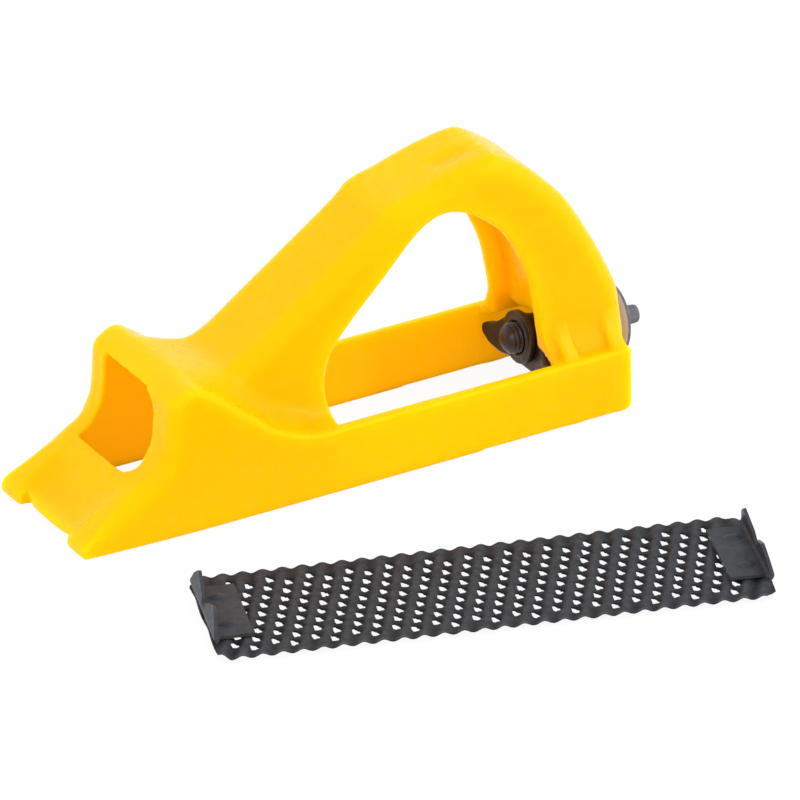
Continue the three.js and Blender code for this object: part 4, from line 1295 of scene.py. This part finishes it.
@dataclass
class RaspBlade:
    """The corrugated, pierced sheet and the bent clip at each of its ends."""

    length: float = 146.0
    width: float = 44.0
    sheet: float = 0.6
    waves: int = 28
    wave_height: float = 0.9
    middle: float = 1.65
    skew: float = math.tan(math.radians(17.4))
    yaw: float = -18.1
    hole_pitch: float = 4.3
    half_hole_u: float = 1.27
    half_hole_v: float = 1.62
    near_power: float = 5.0
    far_power: float = 1.75
    hole_rings: Points = field(default_factory=lambda: [(0.4, 0.25), (0.75, 0.7), (1.0, 1.0)])
    long_row: int = 9
    last_row: int = 13
    spare_rows: int = 2
    plain_end: float = 2.3
    cells_u: int = 8
    cells_v: int = 6
    tooth_depth: float = 0.75
    tooth_tuck: float = 0.1
    tooth_power: float = 1.5
    tear: float = 0.06
    seed: int = 7
    corner: float = 3.0
    sheet_sharp: float = 50.0
    clip_base: float = 2.7
    clip_sheet: float = 0.9
    clip_length: float = 10.5
    clip_bend: float = 1.3
    clip_core: float = 6.0
    clip_half_plate: float = 13.5
    clip_half_flange: float = 16.2
    clip_height: float = 7.6
    clip_lean: float = 11.0
    clip_taper: float = 2.6
    clip_columns: tuple[float, ...] = (
        0.0, 0.8, 1.6, 2.1, 2.6, 3.4, 4.4, 5.4, 6.6, 7.8, 8.8, 9.3, 9.8, 10.4, 11.4, 12.4, 13.0, 13.5,
    )
    plate_rows: tuple[float, ...] = (0, 0.03, 0.1, 0.25, 0.4, 0.55, 0.7, 0.85, 0.95)
    flange_rows: tuple[float, ...] = (0.12, 0.3, 0.5, 0.7, 0.85, 0.95, 1.0)
    bend_rows: int = 7
    widening_rows: int = 3
    clip_sharp: float = 38.0
    notch_depth: float = 4.9
    notch_sides: tuple[float, float] = (1.6, 2.6)
    notch_flank: float = 2.2
    lobe_peak: float = 9.5
    lobe_flat: float = 0.8
    lobe_end: float = 2.6
    rivet_gap: float = 15.0
    rivet_setback: float = 4.6
    shank_start: float = 0.5
    shank_radius: float = 0.9
    head_line: Points = field(default_factory=lambda: [
        (2.9, -0.1), (2.7, 0.04), (2.2, 0.2), (1.6, 0.42), (1.0, 0.6), (0.5, 0.68), (0, 0.7),
    ])
    head_squeeze: float = 0.72
    head_depth: float = 0.3
    rivet_edge: float = 0.12
    rivet_steps: int = 40
    rivet_sharp: float = 50.0

    @property
    def pitch(self) -> float:
        """The distance from one wave to the next."""
        return self.length / self.waves

    def wave(self, along: Array) -> Array:
        """Gives the height of the sheet's middle."""
        turn = 2 * math.pi * (along + self.length / 2) / self.pitch
        return self.middle - self.wave_height / 2 * np.cos(turn)

    def rim(self, direction: Array) -> Array:
        """Gives the hole's edge in each direction: domed on the far side, nearly square on the near side."""
        u, v = direction[:, 0], direction[:, 1]
        power = np.where(v < 0, self.near_power, self.far_power)
        sides = (np.abs(u) / self.half_hole_u) ** power + (np.abs(v) / self.half_hole_v) ** power
        reach = sides ** (-1 / power)
        return direction * reach[:, None]

    def tile_edge(self) -> list[tuple[int, int]]:
        """Lists the lattice corners round one tile, from its lower corner on."""
        edge = [(i, 0) for i in range(self.cells_u)]
        edge += [(self.cells_u, j) for j in range(self.cells_v)]
        edge += [(i, self.cells_v) for i in range(self.cells_u, 0, -1)]
        edge += [(0, j) for j in range(self.cells_v, 0, -1)]
        return edge

    def lattice(self) -> tuple[Array, list[tuple[int, ...]]]:
        """Lays out the sheet's middle as points and faces, with a hole in every tile that has one."""
        du, dv = self.pitch / self.cells_u, self.hole_pitch / self.cells_v
        half_v = math.ceil(self.width / 2 / dv)
        rows = range(-self.waves // 2 - self.spare_rows, self.waves // 2 + self.spare_rows + 1)
        rng = np.random.default_rng(self.seed)
        points: list[tuple[float, float, float]] = []
        faces: list[tuple[int, ...]] = []
        known: dict[tuple[int, int], int] = {}

        def corner(i: int, j: int) -> int:
            if (i, j) not in known:
                along = (i / self.cells_u - 0.5) * self.pitch
                known[(i, j)] = len(points)
                points.append((along, j * dv, float(self.wave(np.array(along)))))
            return known[(i, j)]

        def plain(i0: int, j0: int, j1: int) -> None:
            for i in range(i0, i0 + self.cells_u):
                for j in range(j0, j1):
                    faces.append((corner(i, j), corner(i + 1, j), corner(i + 1, j + 1), corner(i, j + 1)))

        for n in rows:
            i0 = n * self.cells_u
            long = (n + self.last_row) % 2 == 0
            count = self.long_row if long else self.long_row - 1
            start = -count * self.cells_v // 2
            plain(i0, -half_v, start)
            plain(i0, start + count * self.cells_v, half_v)
            for k in range(count):
                j0 = start + k * self.cells_v
                v = (j0 + self.cells_v / 2) * dv
                u = n * self.pitch + self.skew * v
                if abs(n) > self.last_row or abs(u) + self.plain_end >= self.length / 2:
                    plain(i0, j0, j0 + self.cells_v)
                    continue
                outer = [corner(i0 + a, j0 + b) for a, b in self.tile_edge()]
                self.holed(points, faces, outer, (n * self.pitch, v), rng)
        return np.array(points), faces

    def holed(self, points: list[tuple[float, float, float]], faces: list[tuple[int, ...]], outer: list[int],
              spot: tuple[float, float], rng: np.random.Generator) -> None:
        """Fills one tile round its hole, with the tooth that hangs from the flat side.

        Args:
            points: The sheet's points, which grow.
            faces: The sheet's faces, which grow.
            outer: The tile's edge as point numbers.
            spot: The hole's middle.
            rng: The source of the torn edge's unevenness.
        """
        edge = np.array([points[number][:2] for number in outer]) - spot
        inner = self.rim(edge / np.linalg.norm(edge, axis=1, keepdims=True))
        ragged = rng.normal(0, self.tear, len(outer))
        upright = np.stack([inner[:, 0] - self.skew * inner[:, 1], inner[:, 1]], axis=1)
        tooth = np.clip(inner[:, 0] / self.half_hole_u, 0, 1) ** self.tooth_power
        previous = outer
        for share, hang in self.hole_rings:
            place = edge * (1 - share) + upright * share
            height = self.wave(place[:, 0] + spot[0]) - hang * self.tooth_depth * tooth + hang * ragged
            place = place + np.stack([-self.tooth_tuck * hang * tooth, ragged * hang], axis=1) + spot
            first = len(points)
            points.extend(zip(place[:, 0].tolist(), place[:, 1].tolist(), height.tolist()))
            ring = list(range(first, first + len(outer)))
            for a in range(len(outer)):
                b = (a + 1) % len(outer)
                faces.append((previous[a], previous[b], ring[b], ring[a]))
            previous = ring

    def sheet_piece(self, place: Matrix) -> bpy.types.Object:
        """Makes the sheet: the lattice, skewed and trimmed to its outline."""
        points, faces = self.lattice()
        skewed = np.stack([points[:, 0] + self.skew * points[:, 1], points[:, 1], points[:, 2]], axis=1)
        mesh = bpy.data.meshes.new("sheet")
        mesh.from_pydata(skewed.tolist(), [], faces)
        bm = bmesh.new()
        bm.from_mesh(mesh)
        half, wide = self.length / 2 - self.sheet / 2, self.width / 2 - self.sheet / 2
        cut = (half + wide - self.corner) / math.sqrt(2)
        planes = [((half, 0), (1, 0)), ((-half, 0), (-1, 0)), ((0, wide), (0, 1)), ((0, -wide), (0, -1))]
        slant = 1 / math.sqrt(2)
        for a in (-slant, slant):
            for b in (-slant, slant):
                planes.append(((a * cut, b * cut), (a, b)))
        for spot, normal in planes:
            everything = [*bm.verts, *bm.edges, *bm.faces]
            bmesh.ops.bisect_plane(
                bm, geom=everything, plane_co=(*spot, 0), plane_no=(*normal, 0), clear_outer=True)
        bmesh.ops.transform(bm, matrix=place, verts=bm.verts)
        bmesh.ops.recalc_face_normals(bm, faces=bm.faces)
        bm.to_mesh(mesh)
        bm.free()
        piece = bpy.data.objects.new("pierced_sheet", mesh)
        bpy.context.scene.collection.objects.link(piece)
        return tidy(thickened(piece, self.sheet), self.sheet_sharp)

    def flange_height(self, across: Array) -> Array:
        """Gives the clip's height: a lobe at each side, high at its peak and low towards both ends."""
        high, low = self.clip_height, self.clip_height - self.notch_depth
        outer = self.clip_half_flange - self.clip_taper
        stops = [0, *self.notch_sides, self.lobe_peak, self.lobe_peak + self.lobe_flat, outer]
        heights = [low, low, low + self.notch_flank, high, high, low + self.lobe_end]
        return np.interp(np.abs(across), stops, heights)

    def clip_piece(self, name: str, place: Matrix) -> bpy.types.Object:
        """Bends one clip: a flat plate on the sheet, a rounded bend and a leaning flange with its notch."""
        middle = self.clip_base + self.clip_sheet / 2
        end = self.length / 2 - self.clip_sheet / 2
        lean = math.radians(self.clip_lean)
        bend = self.clip_bend
        columns = np.array([*(-v for v in self.clip_columns[:0:-1]), *self.clip_columns])
        plate = [(end - self.clip_length + share * (self.clip_length - bend), middle)
                 for share in self.plate_rows]
        turn = math.pi / 2 + lean
        curve = [(end - bend + bend * math.sin(t), middle + bend * (1 - math.cos(t)))
                 for t in np.linspace(0, turn, self.bend_rows)]
        foot = curve[-1]
        rings = []
        for step, (u, z) in enumerate([*plate, *curve]):
            share = np.clip((step - len(plate) + 1) / self.widening_rows, 0, 1)
            wide = self.clip_half_plate + (self.clip_half_flange - self.clip_half_plate) * share
            rings.append([(u, float(self.spread(v, wide)), z) for v in columns])
        rise = middle + self.clip_height - self.clip_sheet / 2 - foot[1]
        for share in self.flange_rows:
            row = []
            for v in columns:
                wide = self.clip_half_flange - self.clip_taper * share
                across = float(self.spread(v, wide))
                height = (rise - (self.clip_height - float(self.flange_height(np.array(across))))) * share
                row.append((foot[0] - height * math.tan(lean), across, foot[1] + height))
            rings.append(row)
        points = np.array(rings).reshape(-1, 3)
        count = len(columns)
        faces = [(i * count + j, i * count + j + 1, (i + 1) * count + j + 1, (i + 1) * count + j)
                 for i in range(len(rings) - 1) for j in range(count - 1)]
        piece = Skin(points, faces).piece(name, place)
        return tidy(thickened(piece, self.clip_sheet), self.clip_sharp)

    def spread(self, across: float, wide: float) -> float:
        """Moves a column outwards or inwards past the notch so that the last one meets the edge."""
        core = self.clip_core
        side = abs(across)
        if side <= core:
            return across
        growth = (wide - core) / (self.clip_half_plate - core)
        return math.copysign(core + (side - core) * growth, across)

    def rivet(self, name: str, place: Matrix) -> bpy.types.Object:
        """Makes one rivet: a low, long head on the clip and a shank through the sheet."""
        top = self.clip_base + self.clip_sheet
        head = [(radius, top + rise) for radius, rise in self.head_line]
        wide, low, high = self.shank_radius, self.shank_start, head[0][1]
        line = rounded([(0, low), (wide, low), (wide, high), *head], self.rivet_edge)
        skin = turned(line, False, self.rivet_steps)
        skin.points[skin.points[:, 2] > top - self.head_depth, 1] *= self.head_squeeze
        return tidy(skin.piece(name, place), self.rivet_sharp)

    def build(self) -> list[tuple[bpy.types.Object, Finish]]:
        """Makes the sheet, both clips and the four rivets, and hides the solids that they stand for."""
        low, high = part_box("blade_sheet")
        centre = Vector(((low.x + high.x) / 2, (low.y + high.y) / 2, 0))
        yaw = Matrix.Rotation(math.radians(self.yaw), 4, "Z")
        place = Matrix.Translation(centre) @ yaw @ Matrix.Scale(METRES, 4)
        made = [(self.sheet_piece(place), "blade_sheet", Finish.BLACK_SHEET)]
        for name, turn in (("rear_clip", 0.0), ("front_clip", math.pi)):
            at = place @ Matrix.Rotation(turn, 4, "Z")
            made.append((self.clip_piece(f"bent_{name}", at), name, Finish.BLACK_CLIP))
        for end, name in ((1, "rear"), (-1, "front")):
            for side, hand in ((-1, "right"), (1, "left")):
                u = end * (self.length / 2 - self.clip_sheet - self.rivet_setback)
                at = place @ Matrix.Translation(Vector((u, side * self.rivet_gap / 2, 0)))
                node = f"{name}_clip_rivet_{hand}"
                made.append((self.rivet(f"long_{node}", at), node, Finish.BLACK_CLIP))
        for piece, node, _ in made:
            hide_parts(node)
            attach(piece, "rasp_blade")
        return [(piece, finish) for piece, _, finish in made]


@dataclass(frozen=True)
class Softbox:
    """A soft rectangular light, with its place and size in metres and its power in watts."""

    name: str
    spot: tuple[float, float, float]
    size: tuple[float, float]
    power: float

    def hang(self) -> None:
        """Hangs the light so that it faces the object."""
        data = bpy.data.lights.new(self.name, "AREA")
        data.shape = "RECTANGLE"
        data.size, data.size_y = self.size
        data.energy = self.power
        light = bpy.data.objects.new(self.name, data)
        light.location = self.spot
        light.rotation_mode = "QUATERNION"
        light.rotation_quaternion = Vector(self.spot).to_track_quat("Z", "Y")
        light.visible_camera = False
        bpy.context.scene.collection.objects.link(light)


SOFTBOXES = (
    Softbox("top_light", (0.6, -0.63, 1.05), (0.12, 0.12), 2.6),
    Softbox("left_light", (-1.1, -0.5, 0.8), (0.12, 0.18), 2.2),
    Softbox("right_light", (0.9, -0.9, 0.6), (0.12, 0.18), 3.5),
)


@dataclass
class Studio:
    """A pale floor, soft light and the photograph's camera."""

    lens: float = 450.0
    sensor: float = 36.0
    azimuth: float = -29.503
    elevation: float = 27.358
    roll: float = -1.061
    shift_right: float = -23.912
    shift_up: float = 8.116
    distance: float = 2617.97
    target: tuple[float, float, float] = (80.0, 0.0, 25.0)
    half_floor: float = 30.0
    floor_drop: float = 0.0002
    floor_tone: tuple[float, float, float, float] = (0.92, 0.92, 0.92, 1.0)
    floor_white: float = 0.93
    sky_strength: float = 1.32
    clip: tuple[float, float] = (0.05, 50.0)

    def axes(self) -> tuple[Vector, Vector, Vector]:
        """Gives the camera's right, up and back directions."""
        a, e, r = (math.radians(v) for v in (self.azimuth, self.elevation, self.roll))
        right = Vector((math.cos(a), math.sin(a), 0))
        up = Vector((-math.sin(a) * math.sin(e), math.cos(a) * math.sin(e), math.cos(e)))
        back = Vector((math.sin(a) * math.cos(e), -math.cos(a) * math.cos(e), math.sin(e)))
        return (right * math.cos(r) + up * math.sin(r), up * math.cos(r) - right * math.sin(r), back)

    def camera(self, place: Matrix) -> None:
        """Sets the camera up in the plane's own frame, carried into the shared one."""
        right, up, back = self.axes()
        eye = Vector(self.target) + back * self.distance - right * self.shift_right - up * self.shift_up
        data = bpy.data.cameras.new("photo_camera")
        data.lens = self.lens
        data.sensor_width = self.sensor
        data.sensor_fit = "HORIZONTAL"
        data.clip_start, data.clip_end = self.clip
        camera = bpy.data.objects.new("photo_camera", data)
        turn = Matrix((right, up, back)).transposed()
        camera.matrix_world = Matrix.Translation(place @ eye) @ turn.to_4x4()
        bpy.context.scene.collection.objects.link(camera)
        bpy.context.scene.camera = camera

    @staticmethod
    def white_to_camera(tree: bpy.types.NodeTree, surface: bpy.types.NodeSocket, share: float
                        ) -> bpy.types.NodeSocket:
        """Mixes a shader with plain white for the rays that see it as background.

        Args:
            tree: The node tree.
            surface: The shader that lights the object.
            share: How much of the white those rays see.

        Returns:
            The mixed shader.
        """
        path = tree.nodes.new("ShaderNodeLightPath")
        seen = path.outputs["Is Camera Ray"]
        for name in ("Is Glossy Ray", "Is Transmission Ray"):
            either = tree.nodes.new("ShaderNodeMath")
            either.operation = "MAXIMUM"
            tree.links.new(seen, either.inputs[0])
            tree.links.new(path.outputs[name], either.inputs[1])
            seen = either.outputs[0]
        part = tree.nodes.new("ShaderNodeMath")
        part.operation = "MULTIPLY"
        part.inputs[1].default_value = share
        tree.links.new(seen, part.inputs[0])
        white = tree.nodes.new("ShaderNodeEmission")
        white.inputs["Color"].default_value = (1, 1, 1, 1)
        white.inputs["Strength"].default_value = 1.0
        mix = tree.nodes.new("ShaderNodeMixShader")
        tree.links.new(part.outputs[0], mix.inputs["Fac"])
        tree.links.new(surface, mix.inputs[1])
        tree.links.new(white.outputs[0], mix.inputs[2])
        return mix.outputs[0]

    def floor(self) -> None:
        """Lays the floor that keeps a faint shadow."""
        mesh = bpy.data.meshes.new("floor")
        half = self.half_floor
        corners = [(-half, -half, 0), (half, -half, 0), (half, half, 0), (-half, half, 0)]
        mesh.from_pydata(corners, [], [(0, 1, 2, 3)])
        floor = bpy.data.objects.new("floor", mesh)
        floor.location.z = -self.floor_drop
        bpy.context.scene.collection.objects.link(floor)
        material = bpy.data.materials.new("floor")
        material.use_nodes = True
        tree = material.node_tree
        tree.nodes.clear()
        diffuse = tree.nodes.new("ShaderNodeBsdfDiffuse")
        diffuse.inputs["Color"].default_value = self.floor_tone
        output = tree.nodes.new("ShaderNodeOutputMaterial")
        surface = self.white_to_camera(tree, diffuse.outputs[0], self.floor_white)
        tree.links.new(surface, output.inputs["Surface"])
        mesh.materials.append(material)

    def world(self) -> None:
        """Surrounds the object with soft light."""
        world = bpy.data.worlds.new("studio")
        bpy.context.scene.world = world
        world.use_nodes = True
        tree = world.node_tree
        tree.nodes.clear()
        sky = tree.nodes.new("ShaderNodeBackground")
        sky.inputs["Color"].default_value = (1, 1, 1, 1)
        sky.inputs["Strength"].default_value = self.sky_strength
        output = tree.nodes.new("ShaderNodeOutputWorld")
        tree.links.new(self.white_to_camera(tree, sky.outputs[0], 1.0), output.inputs["Surface"])

    def build(self, place: Matrix) -> None:
        """Sets up camera, floor, world and lights."""
        self.camera(place)
        self.floor()
        self.world()
        for softbox in SOFTBOXES:
            softbox.hang()
        bpy.context.scene.view_settings.view_transform = "Standard"


def main() -> None:
    """Builds the whole scene in order."""
    logging.basicConfig(level=logging.INFO, format="%(message)s")
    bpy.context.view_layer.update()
    low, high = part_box("body_shell")
    corner = Vector((low.x, (low.y + high.y) / 2, low.z))
    place = Matrix.Translation(corner) @ Matrix.Scale(METRES, 4)
    Studio().build(place)
    paint = Paint()
    screw = ScrewLine.from_joint("knob_turn", place.inverted())
    body = PlaneBody(screw).build(place)
    paint.coat(body, Finish.YELLOW_PLASTIC)
    LOG.info("body: %d faces", len(body.data.polygons))
    made = [*Tensioner(screw).build(place), *ThumbScrew(screw).build(place), *RaspBlade().build()]
    for piece, finish in made:
        paint.coat(piece, finish)
        LOG.info("%s: %d faces", piece.name, len(piece.data.polygons))


if __name__ == "__main__":
    main()
